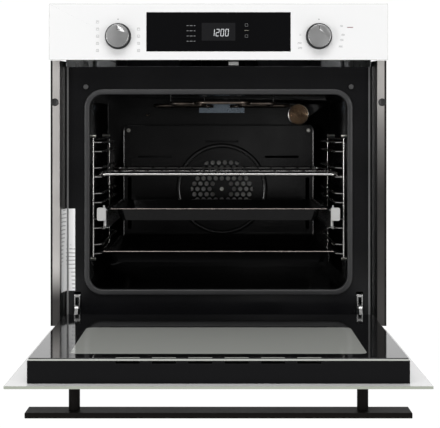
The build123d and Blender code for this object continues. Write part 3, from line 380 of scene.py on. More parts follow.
@dataclass(frozen=True)
class Brushed(Finish):
    """Metal with fine lines along one axis."""

    along: Axis = Axis.X
    lines: float = 60.0

    def dress(self, graph: Graph) -> None:
        """Draws the grain with noise stretched along the axis."""
        place = graph.place()
        scale = [self.lines, self.lines, self.lines]
        scale[self.along.value] = 1.0
        grain = graph.noise(graph.stretched(place, tuple(scale)), 40.0, 3.0)
        cloud = graph.noise(place, self.cloud, 4.0)
        tone = grain * 0.7 + cloud * 0.3
        graph.shade(
            Base_Color=graph.blend(tone, scaled(self.colour, 0.8), scaled(self.colour, 1.15)),
            Roughness=grain * self.rough_spread * 2 + (self.roughness - self.rough_spread),
            Metallic=self.metallic,
        )
        graph.bump(grain, self.skin, self.depth)


@dataclass(frozen=True)
class FlangePaintedReflection(Finish):
    """Flange metal with painted light: a bright painted reflection on its face, grey painted highlights in
    its bend and on its wall, painted shade elsewhere on the wall, and the reflection painted fading dark
    towards its foot.
    """

    bright_from: float = 0.2798
    bright_to: float = 0.2924
    bend: float = 0.0032
    soft: float = 0.0003
    bend_painted_highlight: float = 0.3
    line_painted_highlight: float = 0.1
    wall_painted_shade: float = 0.02
    left_reflection_fade: float = 0.1
    right_reflection_fade: float = 0.41

    def dress(self, graph: Graph) -> None:
        """Paints the reflection, the highlights and the shade by distance from the middle plane and by
        height.
        """
        place = graph.place()
        x, z = graph.part(place, Axis.X), graph.part(place, Axis.Z)
        reach = abs(x)
        inside = reach.step(self.bright_from - self.soft, self.bright_from + self.soft)
        outside = 1 - reach.step(self.bright_to - self.soft, self.bright_to + 0.0006)
        start = self.bright_from - self.bend
        bend = reach.step(start - 0.0002, start + 0.0002) * self.bend_painted_highlight
        line_out = reach.step(start - 0.0016, start - 0.0012)
        line_in = 1 - reach.step(start - 0.0007, start - 0.0003)
        lines = line_out * line_in * self.line_painted_highlight
        # painted light: the face band is a painted reflection, the bend band and the thin lines are painted
        # highlights on the wall, the rest of the wall is painted shade
        face = (inside * outside).larger(bend * outside).larger(lines) + self.wall_painted_shade
        # painted reflection fading darker towards the bottom, lower down on the left side than on the right
        left = z.step(self.left_reflection_fade - 0.03, self.left_reflection_fade + 0.04)
        right = z.step(self.right_reflection_fade - 0.16, self.right_reflection_fade + 0.14)
        side = x.step(-0.01, 0.01)
        height = left * (1 - side) + right * side
        cloud = graph.noise(place, self.cloud, 4.0)
        shade = face * (height * 0.93 + 0.07)
        graph.shade(
            Base_Color=graph.blend(shade, scaled(self.colour, 0.02), self.colour),
            Roughness=self.gloss(cloud),
            Metallic=self.metallic,
        )
        graph.bump(graph.noise(place, self.grain, 2.0), self.skin, self.depth)


@dataclass(frozen=True)
class TurnedFace(Finish):
    """Knob face with circular turning lines about its own centre."""

    centre: Point = (0, 0, 0)
    pitch: float = 5200.0

    def dress(self, graph: Graph) -> None:
        """Draws rings by distance from the knob's axis."""
        place = graph.place()
        flat = graph.stretched(place, (1, 0, 1), self.centre)
        settings = {"operation": "LENGTH"}
        radius = graph.add("ShaderNodeVectorMath", settings, {0: flat}, "Value")
        rings = (radius * self.pitch).sine() * 0.5 + 0.5
        cloud = graph.noise(place, 120.0, 3.0)
        graph.shade(
            Base_Color=graph.blend(
                rings * 0.5 + cloud * 0.5, scaled(self.colour, 0.9), scaled(self.colour, 1.1),
            ),
            Roughness=self.gloss(cloud),
            Metallic=self.metallic,
        )
        graph.bump(rings, self.skin, self.depth)


@dataclass(frozen=True)
class HeatTinted(Finish):
    """Heater tube: straw and grey bands with a dull scale."""

    def dress(self, graph: Graph) -> None:
        """Mixes straw, bronze and grey along the tube."""
        place = graph.place()
        bands = graph.noise(place, 22.0, 3.0)
        stops = [
            (0.3, (0.09, 0.078, 0.068, 1)),
            (0.5, (0.22, 0.18, 0.15, 1)),
            (0.7, (0.14, 0.125, 0.115, 1)),
        ]
        colour = graph.add("ShaderNodeValToRGB", {"stops": stops}, {0: bands})
        graph.shade(Base_Color=colour, Roughness=bands * 0.3 + 0.22, Metallic=self.metallic)
        graph.bump(graph.noise(place, self.grain, 2.0), self.skin, self.depth)


@dataclass(frozen=True)
class Pane(Finish):
    """Door glass: an opaque printed border round a window whose mostly opaque grey is painted light,
    standing in for the lit glass seen through it.
    """

    low: Point = (0, 0, 0)
    high: Point = (0, 0, 0)
    corner: float = 0.012
    window_alpha: float = 0.85
    window_painted_light: Colour = (0.48, 0.49, 0.46, 1.0)

    def dress(self, graph: Graph) -> None:
        """Masks the window with a rounded box on the pane's own plane."""
        place = graph.place()
        outside: list[Wire] = []
        for axis in (Axis.X, Axis.Y):
            middle = (self.low[axis.value] + self.high[axis.value]) / 2
            half = (self.high[axis.value] - self.low[axis.value]) / 2
            reach = abs(graph.part(place, axis) - middle) - (half - self.corner)
            outside.append(reach.larger(0.0))
        distance = (outside[0].power(2) + outside[1].power(2)).power(0.5)
        border = distance.step(self.corner - 0.0006, self.corner + 0.0006)
        cloud = graph.noise(place, self.cloud, 3.0)
        graph.shade(
            # painted light: the window's mostly opaque grey stands in for the lit white glass seen through
            # the panes
            Base_Color=graph.blend(border, self.window_painted_light, self.colour),
            Alpha=border * (1 - self.window_alpha) + self.window_alpha,
            Roughness=self.gloss(cloud),
            Specular_IOR_Level=self.specular,
        )
        graph.bump(graph.noise(place, 30.0, 2.0), self.skin, self.depth)


@dataclass(frozen=True)
class EdgedGlass(Finish):
    """White-backed glass whose sawn rim shows green-grey."""

    low: Point = (0, 0, 0)
    high: Point = (0, 0, 0)
    axes: tuple[Axis, Axis] = (Axis.X, Axis.Y)
    rim: Colour = (0.3, 0.32, 0.27, 1.0)
    rim_width: float = 0.0006

    def dress(self, graph: Graph) -> None:
        """Masks the rim by distance from the middle of the pane."""
        place = graph.place()
        rim: Wire | None = None
        for axis in self.axes:
            middle = (self.low[axis.value] + self.high[axis.value]) / 2
            half = (self.high[axis.value] - self.low[axis.value]) / 2
            reach = abs(graph.part(place, axis) - middle)
            edge = reach.step(half - self.rim_width, half - self.rim_width / 3)
            rim = edge if rim is None else rim.larger(edge)
        cloud = graph.noise(place, self.cloud, 3.0)
        face = graph.blend(cloud, scaled(self.colour, 1 - self.colour_spread), self.colour)
        graph.shade(
            Base_Color=graph.blend(rim, face, self.rim),
            Roughness=self.gloss(cloud),
            Coat_Weight=self.coat,
            Specular_IOR_Level=self.specular,
        )
        graph.bump(graph.noise(place, self.grain, 2.0), self.skin, self.depth)


@dataclass(frozen=True)
class Tinted(Finish):
    """See-through glass of one tint."""

    alpha: float = 0.4

    def dress(self, graph: Graph) -> None:
        """A tinted sheet with faint streaks."""
        place = graph.place()
        cloud = graph.noise(place, self.cloud, 3.0)
        graph.shade(
            Base_Color=graph.blend(cloud, scaled(self.colour, 0.85), scaled(self.colour, 1.15)),
            Alpha=cloud * 0.1 + (self.alpha - 0.05),
            Metallic=self.metallic,
            Roughness=self.gloss(cloud),
            Specular_IOR_Level=self.specular,
        )
        graph.bump(graph.noise(place, self.grain, 2.0), self.skin, self.depth)


@dataclass(frozen=True)
class Glow(Finish):
    """Lit display segment."""

    strength: float = 1.0

    def dress(self, graph: Graph) -> None:
        """Even light with a slight unevenness."""
        cloud = graph.noise(graph.place(), 400.0, 2.0)
        lit = graph.blend(cloud, scaled(self.colour, 0.9), self.colour)
        graph.shade(Base_Color=grey(0.1), Roughness=0.4, Emission_Color=lit, Emission_Strength=self.strength)


@dataclass(frozen=True)
class Wool(Finish):
    """Glass-wool blanket."""

    def dress(self, graph: Graph) -> None:
        """Tangled fibres from stretched noise both ways."""
        place = graph.place()
        one = graph.noise(graph.stretched(place, (8, 1, 1)), 120.0, 4.0)
        two = graph.noise(graph.stretched(place, (1, 9, 1)), 110.0, 4.0)
        fibre = one * 0.5 + two * 0.5
        graph.shade(
            Base_Color=graph.blend(fibre, scaled(self.colour, 0.6), scaled(self.colour, 1.15)),
            Roughness=fibre * 0.2 + 0.75,
        )
        graph.bump(fibre, 0.9, 0.002)


@dataclass(frozen=True)
class LabelPaper(Finish):
    """Plain label with faint blank bars and no writing."""

    low: Point = (0, 0, 0)
    high: Point = (0, 0, 0)

    def dress(self, graph: Graph) -> None:
        """Rules the paper with short plain bars."""
        place = graph.place()
        height = graph.part(place, Axis.Z)
        drift = graph.noise(place, 40.0, 1.0) * 2.5
        rows = ((height * 900.0 + drift).sine() * 0.5 + 0.5).step(0.8, 0.92)
        patch = graph.noise(graph.stretched(place, (60, 60, 9)), 1.0, 1.0).step(0.5, 0.56)
        bars = rows * patch
        graph.shade(
            Base_Color=graph.blend(bars, self.colour, scaled(self.colour, 0.45)),
            Roughness=graph.noise(place, 300.0, 2.0) * 0.15 + 0.45,
        )


class Palette:
    """The oven's finishes by the maker's name for them."""

    BLACK_LENS = Finish(
        "black_lens", (0.003, 0.003, 0.0035, 1), 0.1, 0, 0, 0.1, 0.02, 10.0, 30.0, 0.02, specular=0.15,
    )
    DISPLAY_FILM = Finish("display_film", (0.009, 0.009, 0.01, 1), 0.2, 0, 0, 0.1, 0.04, 10.0, specular=0.3)
    INK = Finish("legend_ink", grey(0.22), 0.5, 0, 0, 0.1)
    RED_INK = Finish("red_ink", (0.16, 0.02, 0.02, 1), 0.5, 0, 0, 0.1)
    DIGITS = Glow("lit_digits", (0.95, 0.97, 1.0, 1), strength=0.85)
    ICONS = Glow("lit_icons", (0.75, 0.77, 0.8, 1), strength=0.12)
    AMBER_ICON = Glow("lit_amber_icon", (0.8, 0.7, 0.4, 1), strength=0.12)
    BLACK_ENAMEL = Enamel(
        "black_enamel", (0.004, 0.004, 0.0045, 1), 0.18, 0, 0, skin=0.25, depth=0.00012, specular=0.25,
    )
    CAVITY_ENAMEL = Enamel(
        "cavity_enamel", (0.0028, 0.0027, 0.0028, 1), 0.2, 0, 0, skin=0.35, depth=0.0002, specular=0.33,
    )
    TRAY_ENAMEL = Enamel("tray_enamel", (0.005, 0.005, 0.0052, 1), 0.18, 0, 0, skin=0.3, depth=0.00015)
    DOOR_PAINT = Finish(
        "door_paint", (0.004, 0.004, 0.0045, 1), 0.25, 0, 0, 0.15, 0.06, 20.0, 1400.0, 0.25, specular=0.08,
    )
    # flange colour with painted reflection, painted highlights and painted shade laid into it
    FLANGE_PAINTED_REFLECTION = FlangePaintedReflection(
        "flange_painted_reflection", (0.8, 0.77, 0.74, 1), 0.3, 1.0, 0, 0.06, 0.05, 20.0, 1400.0, 0.1,
    )
    HANDLE_PAINT = Finish(
        "handle_paint", (0.005, 0.0042, 0.0038, 1), 0.5, 0, 0, 0.15, 0.05, 20.0, 1600.0, 0.3, specular=0.05,
    )
    DARK_PLASTIC = Finish("dark_plastic", (0.022, 0.022, 0.023, 1), 0.45, 0, 0, 0.1, 0.05, 20.0, 1800.0, 0.3)
    LIGHT_PLASTIC = Finish("light_plastic", (0.47, 0.47, 0.46, 1), 0.4, 0, 0, 0.06, 0.05, 40.0, 1500.0, 0.25)
    GASKET = Finish("gasket_rubber", (0.022, 0.022, 0.023, 1), 0.36, 0, 0, 0.15, 0.08, 25.0, 1200.0, 0.3)
    BUFFER = Finish("buffer_rubber", grey(0.035), 0.5, 0, 0, 0.1, 0.05, 30.0, 1200.0, 0.3)
    GALVANISED = Galvanised("galvanised_sheet", (0.56, 0.57, 0.58, 1), 0.36, 1.0, rough_spread=0.1, skin=0.1)
    ZINC_BRACKET = Galvanised(
        "zinc_bracket", (0.3, 0.36, 0.42, 1), 0.34, 1.0, rough_spread=0.1, spangle=260.0,
    )
    CHROME = Finish("chromed_wire", (0.5, 0.49, 0.48, 1), 0.2, 1.0, 0, 0.1, 0.06, 60.0, 700.0, 0.1)
    STEEL = Brushed("bright_steel", (0.62, 0.62, 0.61, 1), 0.28, 1.0, rough_spread=0.08, along=Axis.Y)
    SCREW = Finish("zinc_screw", (0.55, 0.54, 0.5, 1), 0.3, 1.0, 0, 0.12, 0.08, 300.0, 1500.0, 0.2)
    HEATER = HeatTinted("heater_tube", (0.3, 0.26, 0.2, 1), metallic=1.0, skin=0.3)
    WHEEL_METAL = Brushed("fan_sheet", (0.75, 0.74, 0.72, 1), 0.5, 0.3, rough_spread=0.1)
    AMBER_GLASS = Tinted("amber_glass", (0.42, 0.29, 0.18, 1), 0.12, metallic=0.65, alpha=0.85, specular=0.9)
    CLEAR_GLASS = Tinted("middle_pane", (0.1, 0.105, 0.1, 1), 0.06, alpha=0.12)
    MOTOR = Finish("motor_lacquer", (0.06, 0.06, 0.062, 1), 0.4, 0.6, 0, 0.2)
    BOARD = Finish("circuit_board", (0.02, 0.12, 0.05, 1), 0.35, 0, 0.2, 0.2, 0.05, 200.0)
    WOOL = Wool("glass_wool", (0.6, 0.52, 0.34, 1))
    LABEL = LabelPaper("plain_label", grey(0.92))
    DUCT_SHEET = Galvanised("duct_sheet", (0.1, 0.1, 0.105, 1), 0.4, 1.0, rough_spread=0.1)
    SPACER = Finish("spacer_bar", (0.05, 0.052, 0.05, 1), 0.35, 0.3, 0, 0.1)
    # light grey metal painted as the highlight on the front frame's rounded side edges
    FRAME_EDGE_HIGHLIGHT = Finish("sheet_edge", grey(0.3), 0.35, 1.0, 0, 0.1)
    HANGER = Finish("hanger_steel", grey(0.1), 0.35, 1.0, 0, 0.2)
    RIDGE = Enamel(
        "pressed_ridge", (0.012, 0.012, 0.012, 1), 0.22, 0, 0, skin=0.2, depth=0.0001, specular=0.8,
    )
    SLEEVE = Finish("flange_sleeve", grey(0.035), 0.35, 0.6, 0, 0.15)
    LIP_BEAD = Finish("bright_lip_bead", (0.3, 0.26, 0.24, 1), 0.25, 1.0, 0, 0.2, 0.1, 60.0)
    STRIP = Finish("spacer_strip", (0.42, 0.43, 0.4, 1), 0.3, 0.2, 0, 0.1)


# Mesh tools -----------------------------------------------------------------


def link(name: str, mesh: bpy.types.Mesh) -> bpy.types.Object:
    """Puts a mesh into the scene as a piece at the origin."""
    piece = bpy.data.objects.new(name, mesh)
    bpy.context.scene.collection.objects.link(piece)
    return piece


def soften(mesh: bpy.types.Mesh, angle: float = 35.0) -> None:
    """Smooth shading, with edges sharper than the angle kept sharp."""
    for face in mesh.polygons:
        face.use_smooth = True
    mesh.set_sharp_from_angle(angle=math.radians(angle))


def settle(piece: bpy.types.Object, finish: Finish, body: Body, slot: str, *nodes: str) -> bpy.types.Object:
    """Gives a piece its finish, parents it to its body's empty and hides the CAD nodes that it stands for.

    Args:
        piece: the finished object.
        finish: its finish.
        body: the body that it rides on.
        slot: the record's material slot; not used.
        nodes: CAD nodes that it stands for.

    Returns:
        The same piece.
    """
    piece.data.materials.clear()
    piece.data.materials.append(finish.material())
    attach(piece, body.value)
    if nodes:
        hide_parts(*nodes)
    LOG.info("piece %s: %d faces", piece.name, len(piece.data.polygons))
    return piece


class Shape:
    """A mesh built up from simple stretches, in metres."""

    def __init__(self) -> None:
        """Starts empty."""
        self.mesh = bmesh.new()

    def block(self, low: Point, high: Point) -> Shape:
        """A block between two corners."""
        made = bmesh.ops.create_cube(self.mesh, size=1.0)["verts"]
        centre = (Vector(low) + Vector(high)) / 2
        size = Vector(high) - Vector(low)
        for vert in made:
            vert.co = Vector((vert.co[i] * size[i] for i in range(3))) + centre
        return self

    def sweep(self, sections: Sequence[Sequence[Vector]], closed: bool) -> Shape:
        """A skin over rings of points that have the same number of points.

        Args:
            sections: one ring of points for each station.
            closed: whether the last ring joins the first.

        Returns:
            This shape.
        """
        rings = [[self.mesh.verts.new(point) for point in ring] for ring in sections]
        pairs = list(zip(rings, rings[1:]))
        if closed:
            pairs.append((rings[-1], rings[0]))
        for one, two in pairs:
            for i in range(len(one)):
                j = (i + 1) % len(one)
                self.mesh.faces.new((one[i], one[j], two[j], two[i]))
        if not closed:
            self.mesh.faces.new(list(reversed(rings[0])))
            self.mesh.faces.new(rings[-1])
        return self

    def tube(self, path: Sequence[Vector], radius: float, sides: int = 12, closed: bool = False) -> Shape:
        """A round tube along points, its section turned without twist."""
        count = len(path)
        up = Vector((0.0, 0.0, 1.0))
        sections = []
        for i, point in enumerate(path):
            before = path[i - 1] if i or closed else point
            after = path[(i + 1) % count] if i + 1 < count or closed else point
            run = (after - before).normalized()
            side = run.cross(up)
            if side.length < 0.2:
                side = run.cross(Vector((1.0, 0.0, 0.0)))
            side.normalize()
            rise = side.cross(run).normalized()
            ring = []
            for k in range(sides):
                turn = 2 * math.pi * k / sides
                ring.append(point + radius * (math.cos(turn) * side + math.sin(turn) * rise))
            sections.append(ring)
        return self.sweep(sections, closed)

    def lathe(self, profile: Sequence[tuple[float, float]], centre: Vector, steps: int = 64,
              ripple: Callable[[float, float], float] | None = None) -> Shape:
        """Turns a profile of (radius, depth) about the Y axis through centre.

        Args:
            profile: points from the front pole to the back, the first at radius 0.
            centre: where the axis crosses depth 0.
            steps: facets round the axis.
            ripple: optional change of radius from angle and radius.

        Returns:
            This shape.
        """
        rings = []
        for radius, depth in profile[1:]:
            ring = []
            for k in range(steps):
                turn = 2 * math.pi * k / steps
                reach = radius + (ripple(turn, radius) if ripple else 0.0)
                offset = Vector((reach * math.cos(turn), depth, reach * math.sin(turn)))
                ring.append(self.mesh.verts.new(centre + offset))
            rings.append(ring)
        pole = self.mesh.verts.new(centre + Vector((0, profile[0][1], 0)))
        for k in range(steps):
            self.mesh.faces.new((pole, rings[0][k], rings[0][(k + 1) % steps]))
        for one, two in zip(rings, rings[1:]):
            for k in range(steps):
                j = (k + 1) % steps
                self.mesh.faces.new((one[k], two[k], two[j], one[j]))
        self.mesh.faces.new(list(reversed(rings[-1])))
        return self

    def piece(self, name: str, angle: float = 35.0) -> bpy.types.Object:
        """The finished piece, with its faces turned outwards."""
        bmesh.ops.remove_doubles(self.mesh, verts=self.mesh.verts, dist=1e-7)
        bmesh.ops.recalc_face_normals(self.mesh, faces=self.mesh.faces)
        mesh = bpy.data.meshes.new(name)
        self.mesh.to_mesh(mesh)
        self.mesh.free()
        soften(mesh, angle)
        return link(name, mesh)


def refined(node: str, name: str, round_edge: float = 0.0, segments: int = 2) -> bpy.types.Object:
    """A smooth-shaded copy of a CAD node, its loose triangles merged and its edges rounded.

    Args:
        node: the CAD node to copy.
        name: the new piece's name.
        round_edge: edge radius in metres, or 0 for none.
        segments: facets across a rounded edge.

    Returns:
        The new piece.
    """
    source = bpy.data.objects[node].data
    shape = bmesh.new()
    shape.from_mesh(source)
    bmesh.ops.remove_doubles(shape, verts=shape.verts, dist=1e-6)
    bmesh.ops.dissolve_limit(shape, angle_limit=math.radians(0.6), verts=shape.verts, edges=shape.edges)
    mesh = bpy.data.meshes.new(name)
    shape.to_mesh(mesh)
    shape.free()
    piece = link(name, mesh)
    if round_edge:
        bevel = piece.modifiers.new("edge", "BEVEL")
        bevel.width = round_edge
        bevel.segments = segments
        bevel.limit_method = "ANGLE"
        bevel.angle_limit = math.radians(40)
        bevel.use_clamp_overlap = True
        soften(piece.data)
        even = piece.modifiers.new("even", "WEIGHTED_NORMAL")
        even.keep_sharp = True
        baked = baked_mesh(piece, name)
        piece.modifiers.clear()
        piece.data = baked
    else:
        soften(piece.data)
    return piece


def baked_mesh(piece: bpy.types.Object, name: str) -> bpy.types.Mesh:
    """The mesh of an object with its modifiers applied."""
    graph = bpy.context.evaluated_depsgraph_get()
    graph.update()
    mesh = bpy.data.meshes.new_from_object(piece.evaluated_get(graph), depsgraph=graph)
    mesh.name = name
    return mesh


# Geometry Nodes -------------------------------------------------------------


class Pattern:
    """A Geometry Nodes tree that copies one small part to many places."""

    def __init__(self, name: str) -> None:
        """Starts a tree with a geometry output."""
        self.tree = bpy.data.node_groups.new(name, "GeometryNodeTree")
        self.tree.interface.new_socket("Geometry", in_out="OUTPUT", socket_type="NodeSocketGeometry")
        self.inputs: dict[str, tuple[str, object]] = {}
        self.source = self.tree.nodes.new("NodeGroupInput")
        self.end = self.tree.nodes.new("NodeGroupOutput")

    def size(self, name: str, value: float | int | Sequence[float]) -> bpy.types.NodeSocket:
        """Adds a named input with its value, and returns the socket that carries it."""
        kinds = {int: "NodeSocketInt", float: "NodeSocketFloat"}
        kind = kinds.get(type(value), "NodeSocketVector")
        made = self.tree.interface.new_socket(name, in_out="INPUT", socket_type=kind)
        self.inputs[name] = (made.identifier, value)
        return self.source.outputs[name]

    def add(self, kind: str, settings: Mapping[str, object] | None = None,
            inputs: Mapping[str | int, object] | None = None, output: str | int = 0) -> bpy.types.NodeSocket:
        """Adds a node with its settings and inputs, and returns one output."""
        node = self.tree.nodes.new(kind)
        for key, value in (settings or {}).items():
            setattr(node, key, value)
        for key, value in (inputs or {}).items():
            if isinstance(value, bpy.types.NodeSocket):
                self.tree.links.new(value, node.inputs[key])
            else:
                node.inputs[key].default_value = value
        return node.outputs[output]

    def scatter(self, points: bpy.types.NodeSocket, part: bpy.types.NodeSocket,
                turn: Point = (0, 0, 0)) -> bpy.types.NodeSocket:
        """Puts a part on every point."""
        inputs = {"Points": points, "Instance": part, "Rotation": turn}
        return self.add("GeometryNodeInstanceOnPoints", None, inputs)

    def grid(self, name: str, size_x: float, size_y: float, count_x: int,
             count_y: int) -> bpy.types.NodeSocket:
        """A flat grid of points, with its sizes and counts as named inputs."""
        inputs = {
            "Size X": self.size(f"{name} width", size_x),
            "Size Y": self.size(f"{name} height", size_y),
            "Vertices X": self.size(f"{name} columns", count_x),
            "Vertices Y": self.size(f"{name} rows", count_y),
        }
        return self.add("GeometryNodeMeshGrid", None, inputs)

    def moved(self, geometry: bpy.types.NodeSocket, by: Point,
              turn: Point = (0, 0, 0)) -> bpy.types.NodeSocket:
        """Turns and moves a geometry."""
        inputs = {"Geometry": geometry, "Translation": by, "Rotation": turn}
        return self.add("GeometryNodeTransform", None, inputs)

    def joined(self, *parts: bpy.types.NodeSocket) -> bpy.types.NodeSocket:
        """Joins geometries."""
        node = self.tree.nodes.new("GeometryNodeJoinGeometry")
        for part in parts:
            self.tree.links.new(part, node.inputs[0])
        return node.outputs[0]

    def piece(self, name: str, geometry: bpy.types.NodeSocket, finish: Finish) -> bpy.types.Object:
        """Realises the copies and returns them as one plain mesh piece."""
        real = self.add("GeometryNodeRealizeInstances", None, {0: geometry})
        dressed = self.add("GeometryNodeSetMaterial", None, {0: real, "Material": finish.material()})
        self.tree.links.new(dressed, self.end.inputs[0])
        piece = link(name, bpy.data.meshes.new(name))
        modifier = piece.modifiers.new("pattern", "NODES")
        modifier.node_group = self.tree
        for identifier, value in self.inputs.values():
            modifier[identifier] = value
        mesh = baked_mesh(piece, name)
        piece.modifiers.clear()
        piece.data = mesh
        soften(mesh)
        return piece


# The oven's sub-assemblies --------------------------------------------------


@dataclass
class Record:
    """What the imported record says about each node."""

    packed: Mapping[str, object]
    bodies: dict[str, Body] = field(default_factory=dict)
    slots: dict[str, str] = field(default_factory=dict)

    def __post_init__(self) -> None:
        """Reads the body and the slot of every node."""
        for name, body in self.packed["behaviour"]["bodies"].items():
            for node in body["nodes"] if isinstance(body, dict) else body:
                self.bodies[node] = Body(name)
        for row in self.packed["subparts"]:
            self.slots[row["node"]] = row["material_slot"]


@dataclass
class SubAssembly:
    """Pieces that are made and dressed together."""

    record: Record

    def refine(self, node: str, finish: Finish, edge: float = 0.0, segments: int = 2) -> bpy.types.Object:
        """Replaces a CAD node with a smooth copy of itself in its finish.

        Args:
            node: the CAD node.
            finish: the copy's finish.
            edge: radius of its rounded edges in metres.
            segments: facets across a rounded edge.

        Returns:
            The finished piece.
        """
        piece = refined(node, f"{node}_finished", edge, segments)
        return self.settle(piece, finish, node, node)

    def refine_split(self, node: str, parts: Sequence[tuple[str, Finish, Callable[[Vector], bool]]]) -> None:
        """Replaces a CAD node with several pieces, each in a finish of its own.

        Args:
            node: the CAD node.
            parts: each piece's name, its finish and a test on the middle of a face.
        """
        for name, finish, wanted in parts:
            piece = refined(node, name)
            shape = bmesh.new()
            shape.from_mesh(piece.data)
            spare = [face for face in shape.faces if not wanted(face.calc_center_median())]
            bmesh.ops.delete(shape, geom=spare, context="FACES")
            shape.to_mesh(piece.data)
            shape.free()
            soften(piece.data)
            self.settle(piece, finish, node, node)

    def settle(self, piece: bpy.types.Object, finish: Finish, like: str, *nodes: str) -> bpy.types.Object:
        """Finishes a piece that rides like a CAD node."""
        return settle(piece, finish, self.record.bodies[like], self.record.slots[like], *nodes)


@dataclass
class Casing(SubAssembly):
    """Outer sheets, front frame, flanges and what is fixed to them."""

    screw_radius: float = 0.0035
    screw_height: float = 0.0018
    screw_inset: float = 0.008
    louvre_length: float = 0.05
    louvre_radius: float = 0.0022
    louvre_pitch: float = 0.012
    sheet_edge: float = 0.0004
    sleeve_height: float = 0.4227
    sleeve_bore: float = 0.0026
    sleeve_radius: float = 0.0068

    def build(self) -> None:
        """Makes every casing piece."""
        for node in ("side_panels", "top_cover", "rear_cover", "base_plate"):
            self.refine(node, Palette.GALVANISED, self.sheet_edge)
        self.refine("front_frame", Palette.BLACK_ENAMEL, self.sheet_edge)
        self.refine("mounting_flanges", Palette.FLANGE_PAINTED_REFLECTION, self.sheet_edge)
        self.refine("terminal_box", Palette.DARK_PLASTIC, 0.001, 3)
        self.refine("cable_gland", Palette.DARK_PLASTIC, 0.0006, 3)
        self.refine("door_buffers", Palette.BUFFER, 0.0006, 3)
        self.refine("door_switch", Palette.LIGHT_PLASTIC, 0.0006, 3)
        self.refine("insulation", Palette.WOOL, 0.004, 3)
        self.refine("data_label", Palette.LABEL)
        self._rear_screws()
        self._side_louvres()
        self._frame_edges()
        self._flange_sleeves()

    def _frame_edges(self) -> None:
        """Light metal strips along the front frame's side edges, a painted highlight for the frame's rounded
        edges.
        """
        low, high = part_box("front_frame")
        # painted highlight: light strips where the frame's rounded side edges catch the light
        shape = Shape()
        for sign in (-1, 1):
            inner, outer = sign * (high.x - 0.0048), sign * (high.x - 0.0016)
            shape.block((min(inner, outer), low.y - 0.0008, low.z), (max(inner, outer), low.y, high.z))
        self.settle(shape.piece("frame_edges"), Palette.FRAME_EDGE_HIGHLIGHT, "front_frame")

    def _flange_sleeves(self) -> None:
        """Blind screw sleeves in the flange holes."""
        low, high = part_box("mounting_flanges")
        shape = Shape()
        for sign in (-1, 1):
            centre = Vector((sign * (high.x - 0.0075), low.y, self.sleeve_height))
            profile = [(0.0, 0.012), (self.sleeve_bore, 0.012), (self.sleeve_bore, -0.0008),
                       (0.0058, -0.0012), (self.sleeve_radius, -0.0003), (self.sleeve_radius, 0.0)]
            shape.lathe(profile, centre, 32)
        self.settle(shape.piece("flange_sleeves"), Palette.SLEEVE, "mounting_flanges")

    def _rear_screws(self) -> None:
        """Pan-head screws round the rear cover's edge."""
        low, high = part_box("rear_cover")
        tree = Pattern("rear_screws")
        head = tree.add("GeometryNodeMeshCylinder", None, {
            "Vertices": 16,
            "Radius": tree.size("Head radius", self.screw_radius),
            "Depth": tree.size("Head height", self.screw_height),
        })
        rounder = tree.add("GeometryNodeTransform", None, {0: head, "Rotation": (math.pi / 2, 0.0, 0.0)})
        width = high.x - low.x - 2 * self.screw_inset
        height = 0.47 - 2 * self.screw_inset
        points = tree.grid("Screws", width, height, 4, 2)
        placed = tree.moved(points, (0.0, high.y, low.z + 0.47 / 2), (math.pi / 2, 0.0, 0.0))
        copies = tree.scatter(placed, rounder)
        piece = tree.piece("rear_cover_screws", copies, Palette.SCREW)
        keep_inside(piece)
        self.settle(piece, Palette.SCREW, "rear_cover")

    def _side_louvres(self) -> None:
        """Pressed cooling louvres high on both sides."""
        low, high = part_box("side_panels")
        tree = Pattern("side_louvres")
        hood = tree.add("GeometryNodeMeshUVSphere", None, {
            "Segments": 20,
            "Rings": 10,
            "Radius": tree.size("Hood radius", self.louvre_radius),
        })
        long = self.louvre_length / self.louvre_radius / 2
        shaped = tree.add("GeometryNodeTransform", None, {0: hood, "Scale": (0.8, long, 1.6)})
        points = tree.grid("Louvres", 0.2, self.louvre_pitch * 4, 4, 5)
        middle = ((low.y + high.y) / 2, high.z - 0.06)
        sides = [
            tree.moved(points, (x, *middle), (math.pi / 2, 0.0, math.pi / 2))
            for x in (low.x, high.x)
        ]
        copies = tree.scatter(tree.joined(*sides), shaped)
        piece = tree.piece("side_louvres", copies, Palette.GALVANISED)
        self.settle(piece, Palette.GALVANISED, "side_panels")


def keep_inside(piece: bpy.types.Object) -> None:
    """Pulls vertices that stand out of the CAD box back onto its faces."""
    low, high = CAD_BOX["low"], CAD_BOX["high"]
    for vert in piece.data.vertices:
        for axis in range(3):
            vert.co[axis] = min(max(vert.co[axis], low[axis]), high[axis])


CAD_BOX: dict[str, list[float]] = {}


